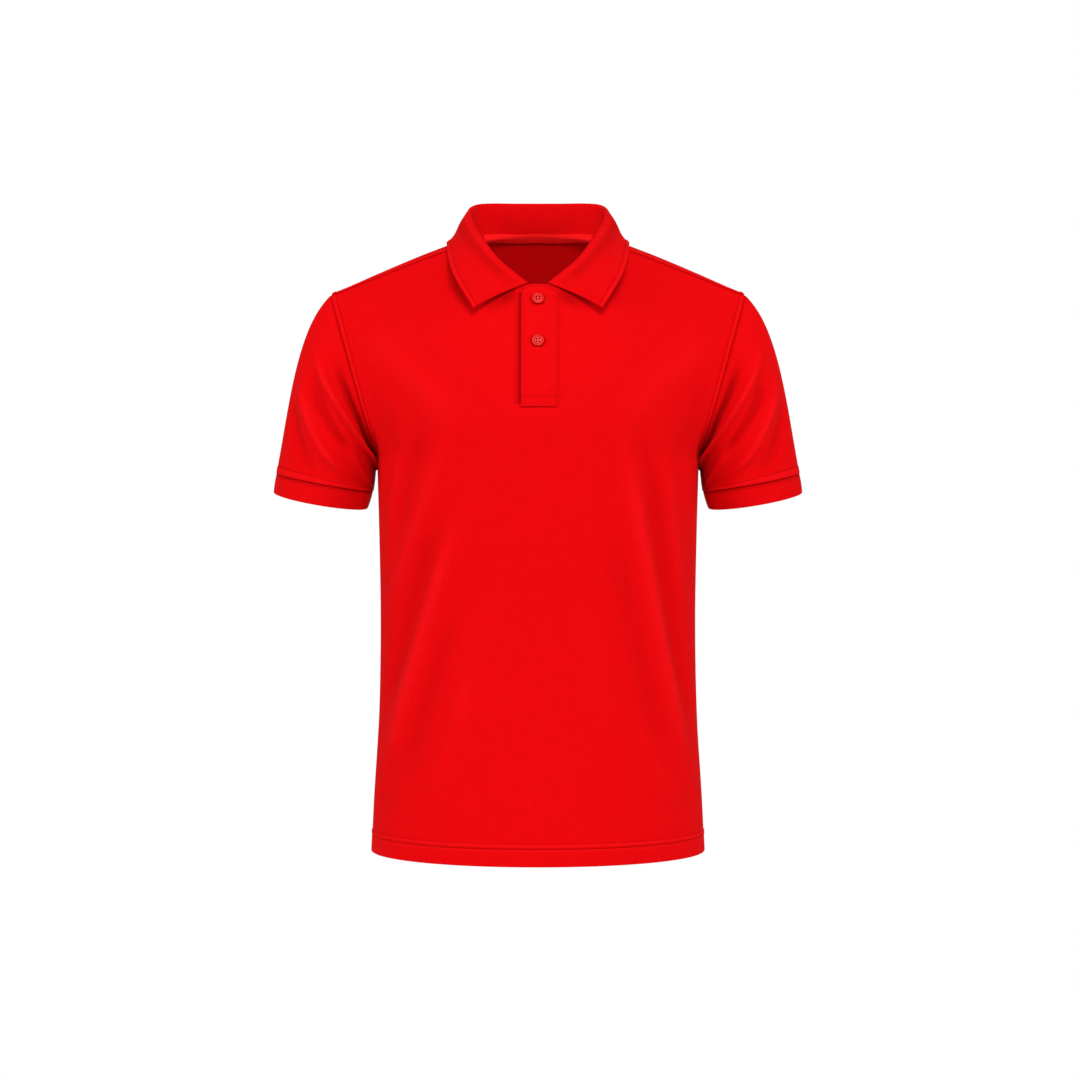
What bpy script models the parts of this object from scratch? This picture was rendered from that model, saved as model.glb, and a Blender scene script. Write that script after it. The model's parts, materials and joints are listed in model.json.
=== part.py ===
"""A polo shirt in knitted pique, filled out as if worn, with nobody in it.

Frame: +Z up, the front faces -Y, +X is the wearer's left. The origin is the middle
of the neck opening, at the height of the side neck points. Sizes are in millimetres
and become metres where a mesh is made.

The front and back are rows of smooth curves, from the centre line out to the side
seam and armhole. Sleeves, cuffs, collar, tape and plackets are all made from the
edges or the points of those two panels, so every seam follows its neighbour.
"""
import math

import bmesh
import bpy
import numpy as np
from mathutils import Matrix, Vector
from mathutils.bvhtree import BVHTree

MM = 0.001
FRONT, BACK = -1, 1

# cloth
PANEL_WALL = 1.6
RIB_WALL = 1.8
TAPE_WALL = 1.2
STRIP_WALL = 1.5
SEAM_GAP = 0.3
# Turns the shared direction of a seam down into a deep crease, as under the arm.
CREASE_PULL = 0.3
WELT_RISE = 0.7
WELT_WIDTH = 6.0
HEM_DEPTH = 20.5

# placket
# Upper edge of the top strip, rounded towards its free left side: x, height.
STRIP_TOPS = (
    (-18.0, -80.5),
    (-17.2, -75.5),
    (-15.4, -72.0),
    (-12.6, -69.6),
    (-9.4, -67.6),
    (-5.0, -66.6),
    (0.0, -66.4),
    (9.4, -66.6),
    (12.6, -69.5),
    (20.2, -71.0),
)
SLOT_LEFT = -24.5
SLOT_RIGHT = 19.0
SLOT_BOTTOM = -196.0
STRIP_LIFT_LEFT = 0.8
STRIP_LIFT_RIGHT = 0.35
STRIP_BOTTOM = -199.0
# The top strip leaves the neckline's slope by this much for each millimetre it climbs.
STRIP_STAND = 0.2
BUTTON_HEIGHTS = {"button_top": -83.0, "button_lower": -129.2}
BUTTON_THICK = 2.8
BUTTON_GAP = 0.35
BUTTON_PROFILE = ((5.4, 0.0), (6.2, 0.7), (6.35, 1.6), (6.1, 2.5), (5.5, 2.8), (4.9, 2.5),
                  (4.3, 1.9), (2.6, 1.75))
BUTTON_SIDES = 20
HOLE_SIDES = 8
HOLE_SPREAD = 1.15
HOLE_RADIUS = 0.65

# neck
STAND_START = 11.0
NECK_HALF_WIDTH = 76.0
FRONT_NECK_LOW = -77.0
NECK_ROW_HEIGHT = -73.5
BACK_NECK_ROW = 5
BACK_CENTRE = 10.0
FRONT_NECK_FULLNESS = 1.75
BACK_NECK_START = 10.0
BACK_NECK_REACH = 48.0
BACK_NECK_FULLNESS = 2.3
TAPE_WIDTH = 10.0
TAPE_HALF_LENGTH = 56.0
TAPE_START = 1.2
TAPE_GAP = 0.95
FOLD_RADIUS = 1.8
LEAF_BOW = 2.0

# sleeve end
CUFF_TUCK = 1.0
SLEEVE_BAND = 7.0

# grid steps
STEP = 1.2
LINE_POINTS = 801
COLUMNS = 12
CENTRE_COLUMNS = 3
BODY_ROWS = 14
FRONT_YOKE_ROWS = (3, 7, 7)
BACK_YOKE_ROWS = (11, 8)
SLEEVE_ROWS = 10
CUFF_ROWS = 3
STAND_STEPS = 3
FOLD_STEPS = 4
LEAF_STEPS = 4
STRIP_ROWS = 14
TAPE_LEVELS = (1.3, 1.95)
TAPE_COLUMNS = 21
TAPE_ROWS = 3
QUIET_EDGE = 25.0

# Torso from the hem up to the underarm, a row for each height:
# height, half_width, front_depth, back_depth, fullness.
BODY_SECTIONS = (
    (-686.0, 186.0, 128.0, 122.0, 0.57),
    (-630.0, 183.4, 124.5, 118.0, 0.58),
    (-545.0, 178.2, 119.0, 111.0, 0.60),
    (-430.0, 175.8, 117.0, 105.0, 0.62),
    (-340.0, 177.2, 122.5, 109.5, 0.63),
    (-252.0, 179.6, 127.0, 116.0, 0.63),
)

# Above the underarm a row runs from the centre line to the armhole. climb is its share
# of the way up the armhole; reach_in and reach_out are how far the row keeps its
# direction at either end; turn is the way it leaves the armhole (0 forward, 90 inward);
# fall is its slope there: climb, centre_y, centre_z, reach_in, reach_out, turn, fall.
FRONT_YOKE = (
    (0.000, -127.0, -252.0, 113.0, 80.0, 0.0, 0.00),
    (0.180, -128.8, -208.0, 96.0, 60.0, 25.0, 0.03),
    (0.360, -122.5, -160.0, 89.0, 54.0, 44.0, 0.10),
    (0.540, -109.0, -112.0, 84.0, 57.0, 57.0, 0.18),
    (0.665, -90.0, -73.0, 79.0, 61.0, 63.0, 0.24),
    (0.820, -60.0, -38.0, 70.0, 65.0, 71.0, 0.30),
    (1.000, -32.0, 2.0, 60.0, 67.0, 83.0, 0.362),
)
BACK_YOKE = (
    (0.000, 116.0, -252.0, 113.0, 73.0, 0.0, 0.00),
    (0.180, 119.4, -205.0, 91.0, 54.0, 38.0, 0.04),
    (0.360, 116.0, -150.0, 84.0, 53.0, 60.0, 0.12),
    (0.520, 104.0, -95.0, 81.0, 56.0, 67.0, 0.22),
    (0.660, 82.0, -40.0, 78.0, 62.0, 71.0, 0.30),
    (0.760, 58.0, 10.0, 73.0, 66.0, 77.0, 0.38),
    (0.860, 32.0, 16.2, 68.0, 68.0, 84.0, 0.43),
    (0.956, 2.0, 12.4, 64.0, 67.0, 90.0, 0.44),
    (1.000, -32.0, 2.0, 60.0, 67.0, 97.0, 0.362),
)

# Share of the armhole over which the rows leave the curve of the underarm row.
UNDERARM_BLEND = 0.36

# The armhole seam, from the underarm up to the shoulder point: x, y, z.
FRONT_ARMHOLE = (
    (179.6, 0.0, -252.0),
    (180.3, -19.0, -243.5),
    (183.0, -37.0, -229.0),
    (188.6, -50.0, -208.5),
    (196.8, -54.5, -179.8),
    (206.0, -49.0, -149.0),
    (215.9, -36.5, -115.7),
    (224.4, -22.5, -88.5),
    (230.8, -9.0, -67.6),
)
BACK_ARMHOLE = (
    (179.6, 0.0, -252.0),
    (180.5, 21.0, -242.5),
    (183.4, 42.0, -227.0),
    (189.0, 57.0, -204.0),
    (196.3, 63.5, -175.0),
    (204.7, 61.0, -146.5),
    (213.2, 52.0, -119.5),
    (221.6, 36.0, -92.8),
    (228.3, 17.5, -71.5),
    (230.6, 3.0, -64.2),
    (230.8, -9.0, -67.6),
)

# The sleeve leaves the armhole in direction (x, y, z), keeps it for reach, and comes
# into the cuff seam over settle. around is 0 at the shoulder point, 0.25 in front,
# 0.5 at the underarm and 0.75 behind: around, x, y, z, reach, settle.
SLEEVE_SECTIONS = (
    (0.000, 0.76, 0.00, -0.65, 54.0, 67.0),
    (0.125, 0.80, -0.25, -0.55, 50.0, 60.0),
    (0.250, 0.60, -0.20, -0.77, 40.0, 45.0),
    (0.375, 0.35, 0.05, -0.93, 22.0, 25.0),
    (0.500, 0.25, 0.00, -0.97, 11.0, 11.0),
    (0.625, 0.35, -0.05, -0.93, 22.0, 25.0),
    (0.750, 0.55, 0.10, -0.83, 40.0, 45.0),
    (0.875, 0.78, 0.20, -0.60, 50.0, 60.0),
    (1.000, 0.76, 0.00, -0.65, 54.0, 67.0),
)

# Sleeve ends: an ellipse through the outer and inner points, wide in y, its front lower:
# outer_x, outer_z, inner_x, inner_z, half_depth, front_drop.
SLEEVE_END = (292.5, -264.5, 184.4, -284.7, 51.0, 4.0)
CUFF_END = (295.7, -286.2, 190.8, -304.8, 49.5, 6.3)
# How much less the sleeve flares at its end than the cuff does.
SLEEVE_LEAN = 1.2

# Collar: the middle of its fold and its outer edge, from the front end to centre back.
# share is the distance along the half neck seam: share, fold x, y, z, edge x, y, z.
COLLAR_SECTIONS = (
    (0.000, 12.0, -86.0, -65.4, 69.2, -104.0, -92.0),
    (0.070, 26.5, -79.0, -53.5, 78.8, -98.0, -76.5),
    (0.170, 43.5, -67.0, -38.0, 90.2, -81.5, -56.0),
    (0.315, 60.5, -44.0, -14.0, 98.2, -50.0, -31.0),
    (0.416, 69.8, -25.0, 1.5, 100.6, -22.0, -15.0),
    (0.504, 75.2, -7.0, 14.5, 101.0, 2.0, -7.5),
    (0.583, 77.6, 10.0, 25.0, 97.5, 22.0, -6.0),
    (0.656, 76.0, 27.0, 33.5, 88.0, 42.0, -5.0),
    (0.724, 68.0, 42.0, 39.5, 74.0, 56.0, -3.0),
    (0.785, 55.0, 50.5, 41.8, 58.0, 63.0, -1.0),
    (0.884, 30.0, 55.5, 42.5, 31.0, 68.5, 0.5),
    (1.000, 0.0, 57.0, 42.7, 0.0, 70.0, 1.0),
)

# Body folds, seen from the front or back, ridges (+) and troughs (-):
# start_x, start_z, end_x, end_z, rise, half_width.
FRONT_FOLDS = (
    (-98.0, -380.0, -168.0, -570.0, 5.0, 17.0),
    (-136.0, -270.0, -150.0, -450.0, -4.5, 16.0),
    (106.0, -290.0, 170.0, -560.0, 5.0, 16.0),
    (118.0, -262.0, 160.0, -440.0, -4.5, 15.0),
    (-186.0, -165.0, -120.0, -215.0, -4.0, 15.0),
    (186.0, -165.0, 122.0, -215.0, -4.0, 15.0),
)
BACK_FOLDS = (
    (-60.0, -330.0, -150.0, -560.0, 5.0, 20.0),
    (-128.0, -280.0, -158.0, -480.0, -4.0, 16.0),
    (70.0, -350.0, 156.0, -590.0, 5.0, 19.0),
    (124.0, -270.0, 152.0, -450.0, -4.0, 16.0),
    (-170.0, -150.0, -70.0, -230.0, 3.5, 18.0),
    (172.0, -158.0, 80.0, -226.0, 3.5, 17.0),
)

# Sleeve folds in shares of the way round and down the sleeve:
# start_around, start_down, end_around, end_down, rise, half_width.
SLEEVE_FOLDS = (
    (0.20, 0.10, 0.36, 0.62, 4.5, 9.0),
    (0.14, 0.30, 0.27, 0.90, -4.0, 10.0),
    (0.09, 0.36, 0.19, 0.92, 3.5, 10.0),
    (0.29, 0.05, 0.44, 0.45, -7.0, 8.0),
    (0.80, 0.12, 0.66, 0.62, 4.0, 10.0),
    (0.88, 0.30, 0.76, 0.85, -3.5, 10.0),
    (0.71, 0.05, 0.58, 0.45, -6.0, 8.0),
)
SLEEVE_GIRTH = 330.0
SLEEVE_LENGTH = 150.0

COLOURS = {
    "cloth": (0.82, 0.004, 0.008),
    "rib": (0.80, 0.004, 0.009),
    "button": (0.78, 0.012, 0.014),
}
ROUGHNESS = {"cloth": 0.85, "rib": 0.82, "button": 0.35}


def unit(vectors):
    """Vectors scaled to length one."""
    length = np.linalg.norm(vectors, axis=-1, keepdims=True)
    return vectors / np.maximum(length, 1e-9)


def between(rows, key):
    """A smooth curve through the rows of a table, read at key (the first column)."""
    rows = np.asarray(rows, float)
    keys, values = rows[:, 0], rows[:, 1:]
    steps = np.diff(keys)[:, None]
    rates = np.diff(values, axis=0) / steps
    slopes = np.vstack([rates[:1], (rates[1:] * steps[:-1] + rates[:-1] * steps[1:])
                        / (steps[1:] + steps[:-1]), rates[-1:]])
    at = int(np.clip(np.searchsorted(keys, key, side="right") - 1, 0, len(keys) - 2))
    width = keys[at + 1] - keys[at]
    t = (key - keys[at]) / width
    return (values[at] * (1 + 2 * t) * (1 - t) ** 2 + values[at + 1] * t * t * (3 - 2 * t)
            + width * (slopes[at] * t * (1 - t) ** 2 - slopes[at + 1] * t * t * (1 - t)))


def with_lengths(points):
    """Points with their share of the whole length as a first column."""
    points = np.asarray(points, float)
    walked = np.concatenate([[0.0], np.cumsum(np.linalg.norm(np.diff(points, axis=0), axis=1))])
    return np.column_stack([walked / walked[-1], points])


def bezier(controls, t):
    """Points of a cubic curve at the parameters t."""
    t = np.asarray(t, float)[:, None]
    first, second, third, last = (np.asarray(point, float) for point in controls)
    return (first * (1 - t) ** 3 + 3 * second * t * (1 - t) ** 2
            + 3 * third * t * t * (1 - t) + last * t ** 3)


FRONT_SEAM = with_lengths(FRONT_ARMHOLE)
BACK_SEAM = with_lengths(BACK_ARMHOLE)


def underarm_handles(side, deep):
    """Reach and last handle of the underarm row cut off at a distance deep from y = 0."""
    points = [np.array(point) for point in row_controls(side, 1.0)]
    ts = np.linspace(0.5, 1.0, 201)
    t = float(np.interp(-deep, -np.abs(bezier(points, ts)[:, 1]), ts))
    first, second, third = (a + (b - a) * t for a, b in zip(points, points[1:]))
    fourth, fifth = first + (second - first) * t, second + (third - second) * t
    return first[0], (fourth - fifth) * t


def row_controls(side, level):
    """Controls of one row of the front (-1) or back (+1).

    level runs 0 to 1 from hem to underarm and 1 to 2 from underarm to shoulder seam.
    """
    if level <= 1.0:
        hem, underarm = BODY_SECTIONS[0][0], BODY_SECTIONS[-1][0]
        height = hem + (underarm - hem) * level
        half_width, front, back, fullness = between(BODY_SECTIONS, height)
        depth = front if side < 0 else back
        return ((0.0, side * depth, height), (fullness * half_width, side * depth, height),
                (half_width, side * fullness * depth, height), (half_width, 0.0, height))
    climb = level - 1.0
    table, seam = (FRONT_YOKE, FRONT_SEAM) if side < 0 else (BACK_YOKE, BACK_SEAM)
    centre_y, centre_z, reach_in, reach_out, turn, fall = between(table, climb)
    x, y, z = between(seam, climb)
    inward = math.sin(math.radians(turn)) * reach_out
    along = math.cos(math.radians(turn)) * reach_out
    own = float(np.clip(climb / UNDERARM_BLEND, 0.0, 1.0))
    own = own * own * (3 - 2 * own)
    base_in, base_out = underarm_handles(side, abs(y))
    leave = (1 - own) * base_out + own * np.array([-inward, side * along, fall * inward])
    return ((0.0, centre_y, centre_z), (base_in + (reach_in - base_in) * own, centre_y, centre_z),
            tuple(np.array([x, y, z]) + leave), (x, y, z))


def row_line(side, level):
    """A row as a fine line of points."""
    return bezier(row_controls(side, level), np.linspace(0.0, 1.0, LINE_POINTS))


def row_at(side, level, wanted):
    """Points of a row at given distances from the centre line."""
    line = row_line(side, level)
    return np.column_stack([np.interp(wanted, line[:, 0], line[:, axis]) for axis in range(3)])


def front_neck_height(x):
    """Height of the front neckline at a distance from the centre."""
    side_neck = row_at(FRONT, 2.0, [NECK_HALF_WIDTH])[0][2]
    share = np.clip(x / NECK_HALF_WIDTH, 0.0, 1.0)
    bow = 1 - (1 - share ** FRONT_NECK_FULLNESS) ** (1 / FRONT_NECK_FULLNESS)
    return FRONT_NECK_LOW + (side_neck - FRONT_NECK_LOW) * bow


def back_neck_width(y):
    """Half width of the back neckline, seen from above."""
    deep = np.clip((y - BACK_NECK_START) / BACK_NECK_REACH, 0.0, 1.0)
    return NECK_HALF_WIDTH * (1 - deep ** BACK_NECK_FULLNESS) ** (1 / BACK_NECK_FULLNESS)


def row_start(side, level, line, slot):
    """Index along a row's line where its panel starts: slot or neckline."""
    x, y, z = line.T
    if level >= 2.0:
        in_panel = x >= NECK_HALF_WIDTH
    elif side == FRONT:
        in_panel = (z <= front_neck_height(x)) | (x >= NECK_HALF_WIDTH)
    else:
        in_panel = x >= back_neck_width(y)
    return int(np.argmax(in_panel & (x >= slot)))


def half_row(side, level, slot):
    """Points of one row of a half panel; its last two steps edge the raised welt."""
    line = row_line(side, level)
    line = line[row_start(side, level, line, slot):]
    walked = np.concatenate([[0.0], np.cumsum(np.linalg.norm(np.diff(line, axis=0), axis=1))])
    stops = np.append(np.linspace(0.0, walked[-1] - WELT_WIDTH - STEP, COLUMNS),
                      [walked[-1] - WELT_WIDTH, walked[-1]])
    return np.column_stack([np.interp(stops, walked, line[:, axis]) for axis in range(3)])


def centre_level(side, height):
    """Level of the row whose centre point is at a height."""
    levels = np.linspace(0.0, 1.75, 701)
    heights = np.array([row_controls(side, level)[0][2] for level in levels])
    return float(np.interp(height, heights, levels))


def fold_share(start_x, start_y, end_x, end_y, half_width, x, y):
    """How much of a fold's rise a place takes: full on its line, none past its ends."""
    along_x, along_y = end_x - start_x, end_y - start_y
    length = math.hypot(along_x, along_y)
    share = ((x - start_x) * along_x + (y - start_y) * along_y) / length ** 2
    aside = ((x - start_x) * along_y - (y - start_y) * along_x) / length
    fade = np.clip(1 - np.abs(2 * share - 1), 0.0, 1.0)
    return fade * fade * (3 - 2 * fade) * np.exp(-(aside / half_width) ** 2)


def grid_normals(points, closed=False):
    """Unit normals of a grid of points; closed joins the last column to the first."""
    if closed:
        padded = np.concatenate([points[:, -1:], points, points[:, :1]], axis=1)
        across = padded[:, 2:] - padded[:, :-2]
    else:
        across = np.gradient(points, axis=1)
    return unit(np.cross(across, np.gradient(points, axis=0)))


class Panel:
    """The front or back as a grid of points, from the wearer's right to the left."""

    def __init__(self, side, slots, inside, folds):
        self.side = side
        self.levels, self.open_row, self.neck_row = self.rows()
        right, left = (np.array([half_row(side, level, slot) for level in self.levels])
                       for slot in slots)
        stops = np.linspace(-slots[0], slots[1], inside + 2)[1:-1]
        middle = np.array([row_at(side, level, np.abs(stops)) for level in self.levels])
        middle[..., 0] = stops
        self.grid = np.concatenate([right[:, ::-1] * (-1, 1, 1), middle, left], axis=1)
        self.right_start = right.shape[1] - 1
        self.left_start = self.right_start + inside + 1
        self.middle = (self.right_start + self.left_start) // 2
        self.raise_folds(folds)
        if side == BACK:
            self.add_shoulder_strip()
        self.outward = grid_normals(self.grid) * -side
        self.shift = np.zeros_like(self.grid)
        self.pit = int(np.argmin(np.abs(self.levels - 1.0)))

    def rows(self):
        """Levels of the rows, and the rows where the centre opens and the neck starts."""
        tall = BODY_SECTIONS[-1][0] - BODY_SECTIONS[0][0]
        body = np.append([0.0, HEM_DEPTH / tall],
                         np.linspace((HEM_DEPTH + STEP) / tall, 1.0, BODY_ROWS))
        if self.side == FRONT:
            slot, neck = centre_level(FRONT, SLOT_BOTTOM), centre_level(FRONT, NECK_ROW_HEIGHT)
            stops, counts = (1.0, slot, neck, 2.0), FRONT_YOKE_ROWS
        else:
            stops, counts = (1.0, 1.0 + BACK_YOKE[BACK_NECK_ROW][0], 2.0), BACK_YOKE_ROWS
        yoke = [np.linspace(low, high, count + 1)[1:]
                for low, high, count in zip(stops, stops[1:], counts)]
        opened = len(body) + counts[0] - 1
        neck_row = len(body) + sum(counts[:-1]) - 1
        return np.concatenate([body] + yoke), opened, neck_row

    def raise_folds(self, folds):
        """Push the folds out or in, leaving the outer edges where they are."""
        outward = grid_normals(self.grid) * -self.side
        x, z = self.grid[..., 0], self.grid[..., 2]
        lift = sum(rise * fold_share(start_x, start_z, end_x, end_z, half_width, x, z)
                   for start_x, start_z, end_x, end_z, rise, half_width in folds)
        for edge in (0, -1):
            away = np.linalg.norm(self.grid - self.grid[:, edge][:, None], axis=-1)
            quiet = np.clip(away / QUIET_EDGE, 0.0, 1.0)
            lift = lift * quiet * quiet * (3 - 2 * quiet)
        self.grid = self.grid + outward * lift[..., None]

    def add_shoulder_strip(self):
        """Two rows that edge the raised strip along the shoulder seam."""
        seam, below = self.grid[-1], self.grid[-2]
        way = unit(below - seam)
        self.grid = np.concatenate([self.grid[:-1], [seam + way * (WELT_WIDTH + STEP),
                                                     seam + way * WELT_WIDTH, seam]])
        self.levels = np.insert(self.levels, -1, [1.99, 1.995])

    def raised(self):
        """Extra thickness outside: hem, armhole welts and shoulder strip."""
        rise = np.zeros(self.grid.shape[:2])
        rise[:2] = WELT_RISE
        ramp = np.clip((self.levels - 1.0) / 0.2, 0.0, 1.0) * WELT_RISE
        for column in (0, 1, -1, -2):
            rise[self.pit:, column] = ramp[self.pit:]
        if self.side == BACK:
            rise[-2:] = WELT_RISE
        return rise

    def kept(self):
        """Cells that are cloth: all but the slot or neck opening at the centre."""
        cells = np.ones((self.grid.shape[0] - 1, self.grid.shape[1] - 1), bool)
        cells[self.open_row:, self.right_start:self.left_start] = False
        return cells

    def place(self, rows, columns, outward, into):
        """Give edge points their shared direction and pull them back from the seam."""
        self.outward[rows, columns] = outward
        self.shift[rows, columns] += into * SEAM_GAP / 2

    def off(self, rows, columns, beside):
        """Directions from edge points into the cloth below and beside them."""
        return self.grid[np.asarray(rows) - 1, beside] - self.grid[rows, columns]


def seam_frame(seam, into_one, into_other, out_one, out_other):
    """Shared outward direction along a seam, and each piece's way off the seam."""
    along = unit(np.gradient(seam, axis=0))
    outward = out_one + out_other + (unit(into_one) + unit(into_other)) * CREASE_PULL
    outward = unit(outward - along * np.sum(outward * along, axis=-1, keepdims=True))
    sideways = np.cross(along, outward)
    one = sideways * np.sign(np.sum(sideways * into_one, axis=-1, keepdims=True))
    other = sideways * np.sign(np.sum(sideways * into_other, axis=-1, keepdims=True))
    return outward, unit(one), unit(other)


def join_sides(front, back):
    """Side seams, from hem to underarm."""
    rows = np.arange(front.pit + 1)
    for edge, beside in ((0, 1), (-1, -2)):
        outward, one, other = seam_frame(
            front.grid[rows, edge], front.grid[rows, beside] - front.grid[rows, edge],
            back.grid[rows, beside] - back.grid[rows, edge],
            front.outward[rows, edge], back.outward[rows, edge])
        front.place(rows, edge, outward, one)
        back.place(rows, edge, outward, other)


def join_shoulders(front, back):
    """Shoulder seams, from neck to shoulder point."""
    for front_columns, back_columns in (
            (np.arange(front.left_start, front.grid.shape[1]),
             np.arange(back.left_start, back.grid.shape[1])),
            (np.arange(front.right_start + 1), np.arange(back.right_start + 1))):
        outward, one, other = seam_frame(
            front.grid[-1, front_columns], front.grid[-2, front_columns] - front.grid[-1, front_columns],
            back.grid[-2, back_columns] - back.grid[-1, back_columns],
            front.outward[-1, front_columns], back.outward[-1, back_columns])
        front.place(-1, front_columns, outward, one)
        back.place(-1, back_columns, outward, other)


def end_point(end, turn, sign):
    """Point of a sleeve-end ellipse at a share of the way round."""
    outer_x, outer_z, inner_x, inner_z, half_depth, front_drop = end
    across, forward = math.cos(math.tau * turn), math.sin(math.tau * turn)
    x = (outer_x + inner_x) / 2 + (outer_x - inner_x) / 2 * across
    z = (outer_z + inner_z) / 2 + (outer_z - inner_z) / 2 * across - front_drop * forward
    return np.array([sign * x, -half_depth * forward, z])


class Sleeve:
    """A sleeve as rings of points, from the armhole down to the cuff seam."""

    def __init__(self, sign, front, back):
        self.sign = sign
        edge, beside = (-1, -2) if sign > 0 else (0, 1)
        front_rows = np.arange(len(front.levels) - 1, front.pit - 1, -1)
        back_rows = np.arange(back.pit + 1, len(back.levels) - 1)
        ring = np.concatenate([front.grid[front_rows, edge], back.grid[back_rows, edge]])
        front_share = with_lengths(front.grid[front_rows, edge])[:, 0]
        back_share = with_lengths(back.grid[back.pit:, edge])[1:-1, 0]
        self.around = np.concatenate([front_share, 1.0 + back_share]) / 2
        self.shape(ring)
        into = np.concatenate([front.off(front_rows, edge, beside), back.off(back_rows, edge, beside)])
        out = np.concatenate([front.outward[front_rows, edge], back.outward[back_rows, edge]])
        looped = [np.concatenate([part[-1:], part, part[:1]]) for part in
                  (ring, into, self.grid[1] - self.grid[0], out, self.outward[0])]
        outward, body, sleeve = (part[1:-1] for part in seam_frame(*looped))
        front.place(front_rows, edge, outward[:len(front_rows)], body[:len(front_rows)])
        back.place(back_rows, edge, outward[len(front_rows):], body[len(front_rows):])
        back.place(-1, edge, outward[0], body[0])
        back.place(back.pit, edge, outward[len(front_rows) - 1], body[len(front_rows) - 1])
        self.outward[0] = outward
        self.grid[0] += sleeve * SEAM_GAP / 2

    def shape(self, ring):
        """Carry each armhole point down to the cuff seam, then raise the folds."""
        band = SLEEVE_BAND / SLEEVE_LENGTH
        edge = (SLEEVE_BAND + STEP) / SLEEVE_LENGTH
        self.downs = np.append(np.linspace(0.0, 1.0 - edge, SLEEVE_ROWS), [1.0 - band, 1.0])
        self.grid = np.zeros((len(self.downs), len(ring), 3))
        for column, (turn, start) in enumerate(zip(self.around, ring)):
            x, y, z, reach, settle = between(SLEEVE_SECTIONS, turn)
            leave = unit(np.array([self.sign * x, y, z]))
            end = end_point(SLEEVE_END, turn, self.sign)
            arrive = end_point(CUFF_END, turn, self.sign) - end
            arrive[0] += self.sign * SLEEVE_LEAN * math.cos(math.tau * turn)
            arrive = unit(arrive)
            controls = (start, start + leave * reach, end - arrive * settle, end)
            self.grid[:, column] = bezier(controls, self.downs)
        outward = grid_normals(self.grid, closed=True) * self.sign
        around, down = self.around[None, :], self.downs[:, None]
        lift = sum(rise * fold_share(start_around * SLEEVE_GIRTH, start_down * SLEEVE_LENGTH,
                                     end_around * SLEEVE_GIRTH, end_down * SLEEVE_LENGTH,
                                     half_width, around * SLEEVE_GIRTH, down * SLEEVE_LENGTH)
                   for start_around, start_down, end_around, end_down, rise, half_width
                   in SLEEVE_FOLDS)
        quiet = np.clip(down / 0.12, 0.0, 1.0) * np.clip((1 - down) / 0.2, 0.0, 1.0)
        self.grid = self.grid + outward * (lift * quiet)[..., None]
        self.outward = grid_normals(self.grid, closed=True) * self.sign

    def raised(self):
        """Extra thickness of the turned band above the cuff."""
        rise = np.zeros(self.grid.shape[:2])
        rise[-2:] = WELT_RISE
        return rise

    def cuff(self):
        """Rings of the cuff, a little inside the sleeve's lower edge."""
        seam = self.grid[-1] - self.outward[-1] * CUFF_TUCK
        low = np.array([end_point(CUFF_END, turn, self.sign) for turn in self.around])
        seam = seam + unit(low - seam) * SEAM_GAP
        grid = np.array([seam + (low - seam) * share for share in np.linspace(0.0, 1.0, CUFF_ROWS)])
        return grid, grid_normals(grid, closed=True) * self.sign


def neck_half(front, back, sign):
    """Half of the neck seam, front to back: points, and directions into the panels."""
    start, beside = ((front.left_start, back.left_start), 1) if sign > 0 else (
        (front.right_start, back.right_start), -1)
    front_rows = np.arange(front.neck_row, len(front.levels))
    back_rows = np.arange(len(back.levels) - 2, back.neck_row - 1, -1)
    seam = np.concatenate([front.grid[front_rows, start[0]], back.grid[back_rows, start[1]]])
    into = np.concatenate([front.off(front_rows, start[0], start[0] + beside),
                           back.off(back_rows, start[1], start[1] + beside)])
    out = np.concatenate([front.outward[front_rows, start[0]], back.outward[back_rows, start[1]]])
    return front_rows, back_rows, start, seam, into, out


def neck_seam(front, back):
    """The whole neck seam from the right front end round the back to the left one."""
    parts = []
    for sign in (-1, 1):
        front_rows, back_rows, start, seam, into, out = neck_half(front, back, sign)
        end = row_at(FRONT, front.levels[front.neck_row], [STAND_START])[0] * (sign, 1, 1)
        below = front.grid[front.neck_row - 1, front.middle] - front.grid[front.neck_row, front.middle]
        out_end = front.outward[front.neck_row, front.middle]
        half = [np.concatenate([[first], rest]) for first, rest in
                ((end, seam), (below, into), (out_end, out))]
        parts.append(half if sign < 0 else [piece[::-1] for piece in half])
    row, middle = back.neck_row, back.middle
    centre = (back.grid[row, middle], back.grid[row - 1, middle] - back.grid[row, middle],
              back.outward[row, middle])
    return [np.concatenate([one, [mid], other]) for one, mid, other in zip(parts[0], centre, parts[1])]


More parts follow.
